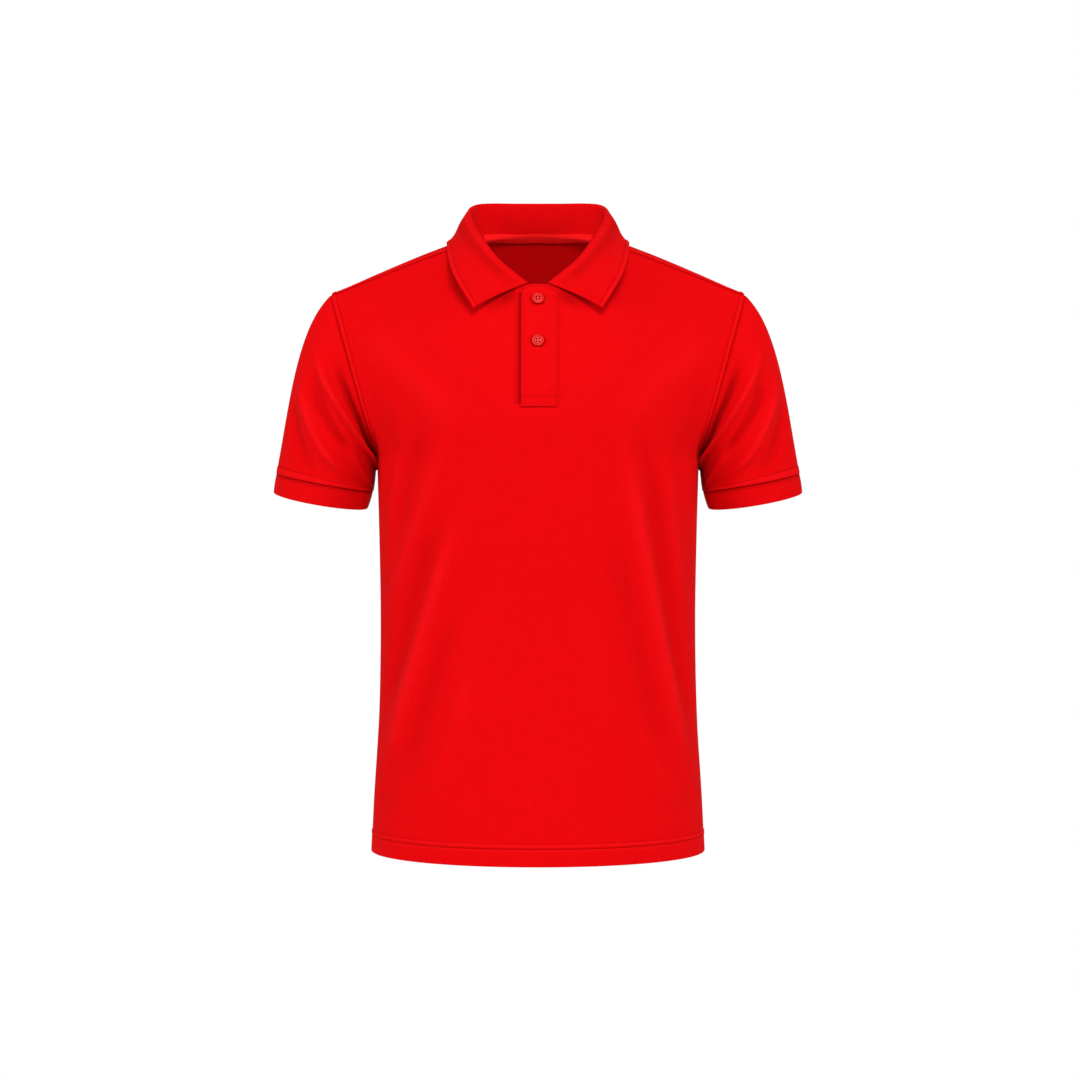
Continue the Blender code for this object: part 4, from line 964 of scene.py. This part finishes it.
class Collar:
    def __init__(self):
        seam, into, out = neckSeam()
        walked = withShares(seam)[:, 0]
        centre = walked[len(walked) // 2]
        self.share = np.where(walked <= centre, walked / centre, (1 - walked) / (1 - centre))
        self.sign = np.where(np.arange(len(walked)) <= len(walked) // 2, -1.0, 1.0)
        self.stretch(seam)
        outward = gridNormals(self.grid)
        middle = len(seam) // 2
        outward *= 1.0 if outward[1, middle] @ np.array([0, -1, 0]) > 0 else -1.0
        alongOut, panel, stand = seamFrame(seam, into, self.grid[2] - self.grid[0], out, -outward[0])
        self.stretch(seam + stand * seams["gap"] / 2)
        self.outward = outward
        self.outward[0] = -alongOut
        self.settle(alongOut, panel)

    def stretch(self, seam):
        values = collarValues
        leafShares = np.linspace(0.0, 1.0, values["leafSteps"] + 1)[1:]
        columns = []
        for share, sign, start in zip(self.share, self.sign, seam):
            row = between(values["sections"], share)
            fold, edge = row[:3] * (sign, 1, 1), row[3:6] * (sign, 1, 1)
            rise, fall = unit(fold - start), unit(edge - fold)
            standSide = unit(-(fall - rise * (fall @ rise)))
            leafSide = unit(rise - fall * (rise @ fall))
            angle = math.acos(float(np.clip(standSide @ leafSide, -1.0, 1.0)))
            turns = np.linspace(0.0, 1.0, values["foldSteps"] + 1)[:, None]
            roll = np.sin((1 - turns) * angle) * standSide + np.sin(turns * angle) * leafSide
            roll = fold + roll / math.sin(angle) * values["foldRadius"]
            stand = start + (roll[0] - start) * np.linspace(0.0, 1.0, values["standSteps"] + 1)[:-1, None]
            length = np.linalg.norm(edge - roll[-1])
            last = 1 - np.array(values["edgeStops"]) / max(length, values["shortLeaf"])
            down = np.append(leafShares[:-1] * last[0], last)[:, None]
            swell = values["leafBow"] * np.sin(np.pi * down)
            swell = swell + values["leafRoll"] * smooth(share / 0.2) * np.sin(2 * np.pi * down)
            leaf = roll[-1] + (edge - roll[-1]) * down + leafSide * swell
            columns.append(np.concatenate([stand, roll, leaf]))
        self.grid = np.array(columns).transpose(1, 0, 2)

    def settle(self, outward, panel):
        half = len(outward) // 2
        for sign, order in ((-1, slice(1, half)), (1, slice(-2, half, -1))):
            frontRows, backRows, start = neckHalf(sign)[:3]
            count = len(frontRows)
            frontPanel.place(frontRows, start[0], outward[order][:count], panel[order][:count])
            backPanel.place(backRows, start[1], outward[order][count:], panel[order][count:])
            backPanel.place(-1, start[1], outward[order][count - 1], panel[order][count - 1])
        backPanel.place(backPanel.neckRow, backPanel.middle, outward[half], panel[half])

    def thickness(self):  # wall on the outside of the leaf, with a raised border at its edge
        values = collarValues
        gap, ends = rowDistance(self.grid, -1), sideDistance(self.grid)
        self.onLeaf = np.arange(self.grid.shape[0])[:, None] > values["standSteps"] + values["foldSteps"]
        border = dome(gap, values["border"], values["borderRise"]) + groove(gap, values["border"], 0.4, 0.5)
        thin = np.minimum(rounded(gap, 1.1), rounded(ends, 1.1))
        half = values["wall"] / 2
        return np.where(self.onLeaf, half + (half + border) * thin, half + half * thin), -(half - half * thin)

    def shade(self):  # painted shading: a painted shade band below the fold, a painted highlight on the fold and border, painted shade at the border's stitch line
        values = collarValues
        gap, ends = rowDistance(self.grid, -1), sideDistance(self.grid)
        fallen = rowDistance(self.grid, values["standSteps"] + values["foldSteps"] // 2)
        band = values["bandShade"] * bell(fallen, 13.0, 6.0) * smooth(ends / 30.0)
        bright = values["foldBright"] * bell(fallen, 3.5, 3.0)
        bright = bright + values["borderBright"] * dome(gap, values["border"] - 0.6, 1.0)
        return np.where(self.onLeaf, band - bright + 0.6 * bell(gap, values["border"], 0.6), 0.0)


collar = Collar()
print("collar shaped")


# Cloth pieces that stand for the solids.

def walls(wall, thin, rise=0.0):  # distances out and in of a wall that thins at its free edges
    lost = wall / 2 * (1 - thin)
    return rise * thin - lost, wall - lost


for panel, node, name in ((frontPanel, "front_panel", "frontPanel"), (backPanel, "back_panel", "backPanel")):
    thin, sink = panel.thin()
    panel.outer, inner = walls(torso["wall"], thin, panel.rise() - sink)
    panel.surface = panel.grid + panel.shift
    item = cloth(name, panel.surface, panel.outward, panel.outer, inner, pique, panel.shade(),
                 kept=panel.kept())
    finish(item, node)
for side, sleeve in sleeves.items():
    name = side.capitalize()
    sleeve.surface, sleeve.outer = sleeve.grid, sleeve.rise()
    item = cloth("sleeve" + name, sleeve.grid, sleeve.outward, sleeve.outer, sleeveValues["wall"], pique,
                 sleeve.shade(), closed=True)
    finish(item, "sleeve_" + side)
    grid, outward, thin = sleeve.cuff()
    # painted shade in the cuff's top rows, along the seam
    crease = np.interp(np.arange(len(thin)), [0, 1, 2], [1.0, 0.5, 0.0])[:, None]
    outer, inner = walls(cuffValues["wall"], thin[:, None])
    item = cloth("cuff" + name, grid, outward, outer, inner, rib, crease, closed=True)
    finish(item, "cuff_" + side)
collar.surface = collar.grid
collar.outer, inner = collar.thickness()
finish(cloth("collarRib", collar.grid, collar.outward, collar.outer, inner, rib, collar.shade()),
       "collar")
print("cloth made")


# Placket: under strip in the slot, top strip over it.

placket = {
    "wall": 1.5, "bottom": -199.0, "liftLeft": 1.3, "liftRight": 0.35, "stand": 0.2, "plump": 0.2,
    "rows": 90, "length": 137.0, "buttons": {"Top": -83.0, "Lower": -129.2},
    # upper edge: x, height
    "tops": ((-18.0, -80.5), (-17.6, -77.5), (-17.0, -74.7), (-15.8, -71.6), (-14.0, -69.3), (-11.6, -67.7),
             (-9.0, -66.9), (-5.0, -66.4), (0.0, -66.3), (9.4, -66.5), (12.6, -69.5), (20.2, -71.0)),
    # stitch lines: edge, distance in from it, depth, painted shade
    "lines": (("left", 2.2, 0.35, 0.25), ("right", 2.0, 0.35, 0.45), ("down", 1.9, 0.35, 0.4),
              ("down", 10.6, 0.5, 0.7), ("up", 2.0, 0.3, 0.4)),
}


def frontStrip(xs, bottom, tops, shares):
    grid = np.zeros((len(shares), len(xs), 3))
    for column, (x, top) in enumerate(zip(xs, tops)):
        low, high = centreLevel(bottom), centreLevel(top)
        for row, share in enumerate(shares):
            grid[row, column] = rowAt(front, low + (high - low) * share, [abs(x)])[0]
            grid[row, column, 0] = x
    return grid, gridNormals(grid)


xs = np.append(np.linspace(-torso["slotRight"] - seams["gap"], -14.0, 16),
               np.linspace(-12.0, torso["slotLeft"] + seams["gap"], 8))
grid, outward = frontStrip(xs, torso["slotBottom"] + seams["gap"],
                           np.full(len(xs), torso["neckRow"] - seams["gap"]), np.linspace(0.0, 1.0, 46))
# painted shadow under the top strip's lifted left edge
item = cloth("placketUnder", grid, outward, -0.9 * bell(xs, -18.0, 2.6), torso["wall"], pique,
             0.8 * bell(xs, -18.4, 3.2), start=(3.0, 7.0))
finish(item, "placket_under")

topXs, topHeights = np.array(placket["tops"]).T
stripXs = np.concatenate([[-18.0, -17.8, -17.3, -16.6, -15.9, -15.3, -14.7], np.linspace(-13.2, 14.8, 22),
                          [15.8, 16.8, 17.3, 17.8, 18.4, 19.2, 19.8, 20.05, 20.2]])
tops = np.interp(stripXs, topXs, topHeights)
ends = np.array([0.0, 0.2, 0.7, 1.4, 2.2]) / placket["length"]
marks = np.array([8.6, 9.3, 9.9, 10.5, 11.3]) / placket["length"]
middle = np.linspace(ends[-1], 1 - ends[-1], placket["rows"])
shares = np.unique(np.concatenate([ends, middle, marks, 1 - ends]))
stripGrid, stripOutward = frontStrip(stripXs, placket["bottom"], tops, shares)
heights = stripGrid[..., 2]
edges = {"left": stripXs - stripXs[0], "right": stripXs[-1] - stripXs,
         "down": heights - placket["bottom"], "up": tops - heights}
near = np.minimum(np.minimum(edges["left"], edges["right"]), np.minimum(edges["down"], edges["up"]))
thin = rounded(np.maximum(near, 0.0), 0.8)
pulled = sum(groove(edges[edge], line, depth) for edge, line, depth, shade in placket["lines"])
# painted shade along the stitch lines, and a painted shadow ring around each button
crease = sum(shade * bell(edges[edge], line, 0.6) for edge, line, depth, shade in placket["lines"])
for height in placket["buttons"].values():
    away = np.hypot(stripGrid[..., 0], (heights - height) * 1.12)
    crease = crease + 1.0 - smooth((away - 6.4) / 3.0)
lift = np.interp(stripXs, topXs[[0, -1]], [placket["liftLeft"], placket["liftRight"]])
lift = lift + placket["stand"] * np.maximum(heights - torso["neckRow"], 0.0)
plump = placket["plump"] * np.sin(np.pi * np.clip(edges["left"] / edges["left"][-1], 0, 1))
half = placket["wall"] / 2
stripOuter = lift + half + (half + plump + pulled) * thin
item = cloth("placketTop", stripGrid, stripOutward, stripOuter, -(lift + half * (1 - thin)), pique, crease,
             start=(1.0, 4.0))
finish(item, "placket_top")


# Tape over the back neck seam.

tape = {"wall": 1.2, "width": 11.5, "halfLength": 65.0, "start": 0.6, "up": 3.1, "gap": 0.3, "endLift": 8.0,
        "swell": 0.6, "easing": 9, "columns": 60, "rows": 12}


def facets(*items):  # the faces of the given pieces, to measure distances to
    corners, faces = [], []
    for item in items:
        faces += [tuple(len(corners) + corner for corner in face.vertices) for face in item.data.polygons]
        corners += [tuple(vertex.co) for vertex in item.data.vertices]
    return BVHTree.FromPolygons(corners, faces)


def backward(grid):  # the grid's normals, on the side that points to the back
    normals = gridNormals(grid)
    return normals * (1.0 if normals[0, grid.shape[1] // 2, 1] > 0 else -1.0)


def tapeColumn(x, rows):
    line = np.array([[np.interp(abs(x), row[:, 0], row[:, axis]) for axis in range(3)] for row in rows])
    line = line[int(np.argmin(abs(x) >= backNeckWidth(line[:, 1]))) - 1::-1]
    lean, power = abs(x) / neck["halfWidth"], neck["backFullness"]
    slope = neck["backReach"] / neck["halfWidth"] * lean ** (power - 1)
    slope = slope / max(1 - lean ** power, 0.05) ** (1 - 1 / power)
    stops = np.linspace(tape["start"], tape["start"] + tape["width"], tape["rows"]) * math.hypot(1.0, slope)
    points = spread(stops, walk(line), line)
    points[:, 0] = x
    return points


def tapeGrid(around):
    rows = [rowLine(back, level) for level in np.linspace(1.3, 1.95, 521)]
    xs = np.linspace(-tape["halfLength"], tape["halfLength"], tape["columns"])
    grid = np.array([tapeColumn(x, rows) for x in xs]).transpose(1, 0, 2)
    outward = backward(grid)
    grid = grid + unit(grid[:1] - grid[-1:]) * tape["up"]
    grid[..., 2] += tape["endLift"] * (grid[..., 0] / tape["halfLength"]) ** 2
    depth = np.zeros(grid.shape[:2])
    for place in np.ndindex(depth.shape):
        start = (grid[place] - outward[place] * tape["width"]) * mm
        reach = around.ray_cast(Vector(start), Vector(outward[place]), 0.02)[3]
        depth[place] = -1.0 if reach is None else reach / mm - tape["width"]
    for turn in range(tape["easing"]):
        edged = np.pad(depth, 1, mode="edge")
        soft = (edged[:-2, 1:-1] + edged[2:, 1:-1] + edged[1:-1, :-2] + edged[1:-1, 2:]) / 4
        depth = np.minimum(depth, soft)
    grid = grid + outward * depth[..., None]
    return grid, backward(grid)


grid, outward = tapeGrid(facets(made["backPanel"], made["collarRib"]))
near = np.minimum(np.arange(tape["rows"]), np.arange(tape["rows"])[::-1])[:, None]
near = near * tape["width"] / (tape["rows"] - 1)
thin, half = rounded(near, 0.8), tape["wall"] / 2
swell = tape["swell"] * np.sin(np.pi * near / near.max() / 2)
item = cloth("neckTape", grid, outward, -tape["gap"] - half * (1 - thin),
             tape["gap"] + half + half * thin + swell, twill)
finish(item, "neck_tape")
tapeInside = grid - outward * (tape["gap"] + tape["wall"] + swell[..., None])
tapeOutward = -outward
print("placket and tape made")


# Stitches: one small thread shape repeated along paths that lie on the cloth.

stitch = {"length": 2.35, "width": 0.52, "height": 0.34, "pitch": 3.0, "lift": 0.1, "sizes": (0.9, 1.06),
          "hem": {"pitch": 2.6, "length": 2.1}, "collar": {"pitch": 2.4, "length": 1.9, "width": 0.42},
          "placket": {"pitch": 2.4, "length": 1.9, "width": 0.45}}


def stitchTree():
    tree = bpy.data.node_groups.new("stitchRow", "GeometryNodeTree")
    tree.interface.new_socket("Paths", in_out="INPUT", socket_type="NodeSocketGeometry")
    for label in ("Pitch", "Length", "Width", "Height"):
        tree.interface.new_socket(label, in_out="INPUT", socket_type="NodeSocketFloat")
    tree.interface.new_socket("Thread", in_out="INPUT", socket_type="NodeSocketMaterial")
    tree.interface.new_socket("Seed", in_out="INPUT", socket_type="NodeSocketInt").default_value = 4
    tree.interface.new_socket("Stitches", in_out="OUTPUT", socket_type="NodeSocketGeometry")
    entry, result = addNode(tree, "NodeGroupInput").outputs, addNode(tree, "NodeGroupOutput").inputs
    curve = addNode(tree, "GeometryNodeMeshToCurve")
    points = addNode(tree, "GeometryNodeResampleCurve", mode="LENGTH")
    outward = addNode(tree, "GeometryNodeInputNamedAttribute", {"Name": "outward"}, data_type="FLOAT_VECTOR")
    along = addNode(tree, "GeometryNodeInputTangent")
    turn = addNode(tree, "FunctionNodeAxesToRotation", primary_axis="Z", secondary_axis="X")
    ball = addNode(tree, "GeometryNodeMeshUVSphere", {"Segments": 6, "Rings": 4, "Radius": 0.5})
    size = addNode(tree, "ShaderNodeCombineXYZ")
    small, large = stitch["sizes"]
    vary = addNode(tree, "FunctionNodeRandomValue", {2: small, 3: large}, data_type="FLOAT")
    scale = addNode(tree, "ShaderNodeVectorMath", operation="SCALE")
    place = addNode(tree, "GeometryNodeInstanceOnPoints")
    real = addNode(tree, "GeometryNodeRealizeInstances")
    paint = addNode(tree, "GeometryNodeSetMaterial")
    wire(tree, (entry["Paths"], curve.inputs["Mesh"]), (curve.outputs["Curve"], points.inputs["Curve"]),
         (entry["Pitch"], points.inputs["Length"]), (points.outputs["Curve"], place.inputs["Points"]),
         (outward.outputs["Attribute"], turn.inputs["Primary Axis"]),
         (along.outputs["Tangent"], turn.inputs["Secondary Axis"]),
         (turn.outputs["Rotation"], place.inputs["Rotation"]),
         (ball.outputs["Mesh"], place.inputs["Instance"]), (entry["Length"], size.inputs[0]),
         (entry["Width"], size.inputs[1]), (entry["Height"], size.inputs[2]),
         (entry["Seed"], vary.inputs["Seed"]), (size.outputs[0], scale.inputs[0]),
         (vary.outputs[1], scale.inputs["Scale"]), (scale.outputs[0], place.inputs["Scale"]),
         (place.outputs["Instances"], real.inputs["Geometry"]),
         (real.outputs["Geometry"], paint.inputs["Geometry"]),
         (entry["Thread"], paint.inputs["Material"]), (paint.outputs["Geometry"], result["Stitches"]))
    return tree


stitchRow = stitchTree()


def sew(name, paths, slot, **changes):  # paths are pairs of points and outward, in millimetres
    points, edges, normals = [], [], []
    for line, outward in paths:
        first = len(points)
        points += (line * mm).tolist()
        normals += outward.tolist()
        edges += [(first + k, first + k + 1) for k in range(len(line) - 1)]
    source = bpy.data.meshes.new(name + "Paths")
    source.from_pydata(points, edges, [])
    layer = source.attributes.new("outward", "FLOAT_VECTOR", "POINT")
    layer.data.foreach_set("vector", np.array(normals, float).ravel())
    holder = addObject(name + "Paths", source)
    modifier = holder.modifiers.new("stitches", "NODES")
    modifier.node_group = stitchRow
    sizes = {**stitch, **changes}
    for socket in stitchRow.interface.items_tree:
        if socket.name.lower() in ("pitch", "length", "width", "height"):
            modifier[socket.identifier] = sizes[socket.name.lower()] * mm
        elif socket.name == "Thread":
            modifier[socket.identifier] = thread
    mesh = baked(holder)
    mesh.name = name
    mesh.shade_smooth()
    finish(addObject(name, mesh))


def lineAt(points, outward, distance, lift=stitch["lift"]):
    # a path across the columns, at one distance from the start of each column
    line, normals = [], []
    for column in range(points.shape[1]):
        walked = walk(points[:, column])
        line.append([np.interp(distance, walked, points[:, column, axis]) for axis in range(3)])
        normals.append([np.interp(distance, walked, outward[:, column, axis]) for axis in range(3)])
    normals = unit(np.array(normals))
    return np.array(line) + normals * lift, normals


for piece in (*panels, collar, *sleeves.values()):
    piece.skin = piece.surface + piece.outward * piece.outer[..., None]
hemPaths, armPaths, shoulderPaths, sleevePaths = [], [], [], []
for panel in panels:
    for height in torso["hemRows"]:
        hemPaths.append(lineAt(panel.skin[:26, 1:-1], panel.outward[:26, 1:-1], height))
    first = int(np.argmax(panel.levels > 1.06))
    for step in (1, -1):
        skin, out = (part[first:, ::step][:, :30].transpose(1, 0, 2) for part in (panel.skin, panel.outward))
        armPaths.append(lineAt(skin, out, torso["weltStitch"]))
for columns in (slice(backPanel.leftStart + 1, -3), slice(3, backPanel.rightStart)):
    skin, out = backPanel.skin[::-1][:14, columns], backPanel.outward[::-1][:14, columns]
    shoulderPaths.append(lineAt(skin, out, torso["weltStitch"]))
for sleeve in sleeves.values():
    skin, out = (np.concatenate([part, part[:, :1]], axis=1)[::-1][:24]
                 for part in (sleeve.skin, sleeve.outward))
    sleevePaths.append(lineAt(skin, out, sleeveValues["bandLine"]))
border = lineAt(collar.skin[::-1][:20], collar.outward[::-1][:20], collarValues["border"], 0.08)
tapeRows = [int(round(share * (tape["rows"] - 1))) for share in (0.13, 0.88)]
tapePaths = [(tapeInside[row, 2:-2] + tapeOutward[row, 2:-2] * stitch["lift"], tapeOutward[row, 2:-2])
             for row in tapeRows]
sew("hemStitches", hemPaths, "pique_knit", **stitch["hem"])
sew("armholeStitches", armPaths, "pique_knit")
sew("shoulderStitches", shoulderPaths, "pique_knit")
sew("sleeveStitches", sleevePaths, "pique_knit")
sew("collarStitches", [tuple(part[2:-2] for part in border)], "rib_knit", **stitch["collar"])
sew("tapeStitches", tapePaths, "rib_knit")

stripSkin = stripGrid + stripOutward * stripOuter[..., None]


def onStrip(x, z):  # point and outward of the top strip's face
    column = np.interp(x, stripXs, np.arange(len(stripXs)))
    share = column - int(column)
    below, above = int(column), min(int(column) + 1, len(stripXs) - 1)
    skin, out = (part[:, below] * (1 - share) + part[:, above] * share for part in (stripSkin, stripOutward))
    point, normal = (np.array([np.interp(z, skin[:, 2], part[:, axis]) for axis in range(3)])
                     for part in (skin, out))
    return point, unit(normal)


def stripPath(corners, step=1.5, lift=0.08):
    flat = np.array(corners, float)
    walked = walk(flat)
    stops = np.linspace(0.0, walked[-1], max(int(walked[-1] / step), 2))
    places = [onStrip(np.interp(s, walked, flat[:, 0]), np.interp(s, walked, flat[:, 1])) for s in stops]
    line, normals = (np.array(part) for part in zip(*places))
    return line + normals * lift, normals


stripPaths = [
    stripPath(((-15.8, -196.5), (-15.8, -81.0), (-15.2, -77.0), (-13.9, -73.8), (-11.6, -71.0), (-8.4, -69.2),
               (-5.0, -68.6), (8.4, -68.6), (11.4, -71.4), (18.2, -73.0), (18.2, -196.5))),
    stripPath(((-15.8, -197.1), (18.2, -197.1))),
    stripPath(((-15.8, -188.4), (18.2, -188.4))),
]
sew("placketStitches", stripPaths, "pique_knit", **stitch["placket"])

buttonholes = {
    "half": 7.2, "gap": 1.1, "pitch": 0.42, "bar": 1.25, "width": 0.44, "height": 0.3,
    "centres": ((3.2, -83.0, False), (0.0, -130.0, True)),  # x, height, upright
    "slits": (((-3.0, -83.0), (10.4, -83.0)), ((0.0, -137.4), (0.0, -122.6))),
}


def satin(centreX, centreZ, upright):  # two rows of close stitches and a bar at each end
    half, gap, bar = (buttonholes[key] for key in ("half", "gap", "bar"))
    count = int(2 * half / buttonholes["pitch"])
    rows = [(-half + 2 * half * k / count, side * (gap - bar / 2), side * (gap + bar / 2))
            for side in (-1, 1) for k in range(count + 1)]
    rows += [(side * (half + 0.35 - 0.3 * k), -gap - 0.3, gap + 0.3) for side in (-1, 1) for k in range(4)]
    found = []
    for along, *ends in rows:
        corners = [(centreX + end, centreZ + along) if upright else (centreX + along, centreZ + end)
                   for end in ends]
        found.append(stripPath(corners, step=0.6, lift=0.05))
    return found


def bars(name, paths, paint, width, height):  # one thread shape from end to end of each short path
    shape = bmesh.new()
    for line, out in paths:
        length, along = np.linalg.norm(line[-1] - line[0]), unit(line[-1] - line[0])
        side = np.cross(out[0], along)
        basis = Matrix(np.column_stack([along * length, side * width, out[0] * height]).tolist()).to_4x4()
        place = Matrix.Translation(Vector((line[0] + line[-1]) / 2 * mm)) @ Matrix.Scale(mm, 4) @ basis
        bmesh.ops.create_uvsphere(shape, u_segments=6, v_segments=4, radius=0.5,
                                  matrix=place @ Matrix.Rotation(math.pi / 2, 4, "Y"))
    bmesh.ops.recalc_face_normals(shape, faces=shape.faces)
    mesh = meshFrom(name, shape)
    mesh.shade_smooth()
    mesh.materials.append(paint)
    finish(addObject(name, mesh))


# dark bars along the buttonhole slits: painted shade in the cuts
slits = [stripPath(ends, step=1.0) for ends in buttonholes["slits"]]
bars("buttonholeSlitShade", slits, slitShade, 1.0, 0.25)
bars("buttonholeStitches", [path for centre in buttonholes["centres"] for path in satin(*centre)],
     thread, buttonholes["width"], buttonholes["height"])
print("stitches sewn")


# Buttons: dished, with four holes that stop short of the back and are painted dark as shade, and a thread
# cross.

buttons = {
    "nodes": {"Top": "button_top", "Lower": "button_lower"},
    "gap": 0.35, "sides": 56, "holeSpread": 1.55, "holeRadius": 0.92, "holeSides": 14, "seat": 0.8,
    "strands": (-0.22, 0.0, 0.22), "strandReach": 0.62, "strandHeight": 2.52, "strandWidth": 0.3,
    # radius, depth from the seat to the face
    "profile": ((5.3, 0.0), (6.0, 0.25), (6.3, 0.8), (6.36, 1.5), (6.25, 2.2), (6.0, 2.65), (5.65, 2.8),
                (5.35, 2.75), (5.1, 2.3), (4.85, 1.75), (4.4, 1.5), (3.95, 1.6), (3.6, 2.05), (3.25, 2.36),
                (2.6, 2.46), (1.2, 2.46)),
}


def blankMesh():  # the turned disc
    sides = buttons["sides"]
    circle = [(math.cos(math.tau * k / sides), math.sin(math.tau * k / sides)) for k in range(sides)]
    shape = bmesh.new()
    rings = [[shape.verts.new((across * radius, up * radius, depth)) for across, up in circle]
             for radius, depth in buttons["profile"]]
    for below, above in zip(rings, rings[1:]):
        for k in range(sides):
            beside = (k + 1) % sides
            shape.faces.new((below[k], below[beside], above[beside], above[k]))
    shape.faces.new(rings[0][::-1])
    shape.faces.new(rings[-1])
    bmesh.ops.recalc_face_normals(shape, faces=shape.faces)
    return meshFrom("blank", shape)


def drillMesh():  # four pegs that cut the holes
    drill = bmesh.new()
    for across, up in ((-1, -1), (-1, 1), (1, -1), (1, 1)):
        spot = Matrix.Translation((across * buttons["holeSpread"], up * buttons["holeSpread"], 3.5))
        bmesh.ops.create_cone(drill, cap_ends=True, segments=buttons["holeSides"], depth=6.0, matrix=spot,
                              radius1=buttons["holeRadius"], radius2=buttons["holeRadius"])
    return meshFrom("drill", drill)


def makeButton(label, height):
    level = centreLevel(height)
    below, seat, above = (np.array(rowControls(front, level + step)[0]) for step in (-0.02, 0.0, 0.02))
    slope = unit(above - below)
    outward = np.array([0.0, -slope[2], slope[1]])
    base = seat + outward * (buttons["seat"] + placket["wall"] + buttons["gap"])
    turn = Vector((0, 0, 1)).rotation_difference(Vector(outward)).to_matrix().to_4x4()
    place = Matrix.Translation(Vector(base * mm)) @ turn @ Matrix.Scale(mm, 4)
    blank, drill = addObject("blank", blankMesh()), addObject("drill", drillMesh())
    cut = blank.modifiers.new("holes", "BOOLEAN")
    cut.operation, cut.object = "DIFFERENCE", drill
    mesh = baked(blank)
    bpy.data.objects.remove(drill)
    mesh.materials.clear()
    mesh.materials.append(buttonShell)
    mesh.materials.append(slitShade)
    apart = buttons["holeSpread"]
    # the holes' walls and floors take the dark slit material: painted shade
    for face in mesh.polygons:
        away = math.hypot(*(abs(face.center[axis]) - apart for axis in (0, 1)))
        face.material_index = int(away < buttons["holeRadius"] + 0.02)
    mesh.transform(place)
    mesh.shade_smooth()
    mesh.set_sharp_from_angle(angle=math.radians(32))
    finish(addObject("button" + label, mesh), buttons["nodes"][label])
    strands = []
    for side in (1, -1):
        for offset in buttons["strands"]:
            shift = np.array([-offset * side, offset])
            ends = [np.array([end * apart, end * side * apart]) * buttons["strandReach"] + shift
                    for end in (-1, 1)]
            points = [np.array(place @ Vector((*end, buttons["strandHeight"]))) / mm for end in ends]
            strands.append((points, [outward]))
    width = buttons["strandWidth"]
    bars("buttonThread" + label, strands, highlightedThread, width, width)


for label, height in placket["buttons"].items():
    makeButton(label, height)
print("buttons made")


# Stage: pale floor, white surroundings, soft lights and the camera.

stage = {"floor": -1.4, "floorRadius": 1.6, "floorColour": (0.92, 0.92, 0.92), "sky": 0.37,
         "camera": (0.00224, -2.25, -0.34), "lens": 66.96, "sensor": 36.0, "farthest": 60.0,
         # name: place, aim, size, watts
         "lamps": {"key": ((0.4, -3.25, 2.2), (0.0, 0.0, -0.35), 1.4, 118.0),
                   "left": ((-2.7, -1.5, 0.3), (0.0, 0.0, -0.4), 1.2, 46.0),
                   "right": ((2.7, -1.5, 0.3), (0.0, 0.0, -0.4), 1.2, 36.0),
                   "rear": ((0.3, 3.6, 0.3), (0.0, 0.0, -0.4), 1.6, 105.0)}}
bpy.ops.mesh.primitive_cylinder_add(vertices=96, radius=stage["floorRadius"], depth=0.02,
                                    location=(0, 0, stage["floor"]))
floor = bpy.context.object
floor.name = "floor"
floor.data.materials.append(newMaterial("paleFloor", stage["floorColour"], {"Roughness": 0.9})[0])
world = bpy.data.worlds.new("studio")
bpy.context.scene.world = world
world.use_nodes = True
tree = world.node_tree
white = (1.0, 1.0, 1.0, 1.0)
around, paper = (addNode(tree, "ShaderNodeBackground", {"Color": white, "Strength": strength})
                 for strength in (stage["sky"], 1.0))  # the second is what the camera sees
ray = addNode(tree, "ShaderNodeLightPath")
pick = addNode(tree, "ShaderNodeMixShader")
wire(tree, (ray.outputs["Is Camera Ray"], pick.inputs[0]), (around.outputs[0], pick.inputs[1]),
     (paper.outputs[0], pick.inputs[2]), (pick.outputs[0], tree.nodes["World Output"].inputs["Surface"]))
for name, (place, aim, size, watts) in stage["lamps"].items():
    lamp = addObject(name, bpy.data.lights.new(name, "AREA"))
    lamp.data.size, lamp.data.energy = size, watts
    lamp.location = place
    lamp.rotation_euler = (Vector(aim) - Vector(place)).to_track_quat("-Z", "Y").to_euler()
camera = addObject("camera", bpy.data.cameras.new("camera"))
camera.location = stage["camera"]
camera.rotation_euler = (math.pi / 2, 0.0, 0.0)
camera.data.lens, camera.data.sensor_width = stage["lens"], stage["sensor"]
camera.data.clip_end = stage["farthest"]
bpy.context.scene.camera = camera
bpy.context.scene.view_settings.view_transform = "Standard"
print("stage set")
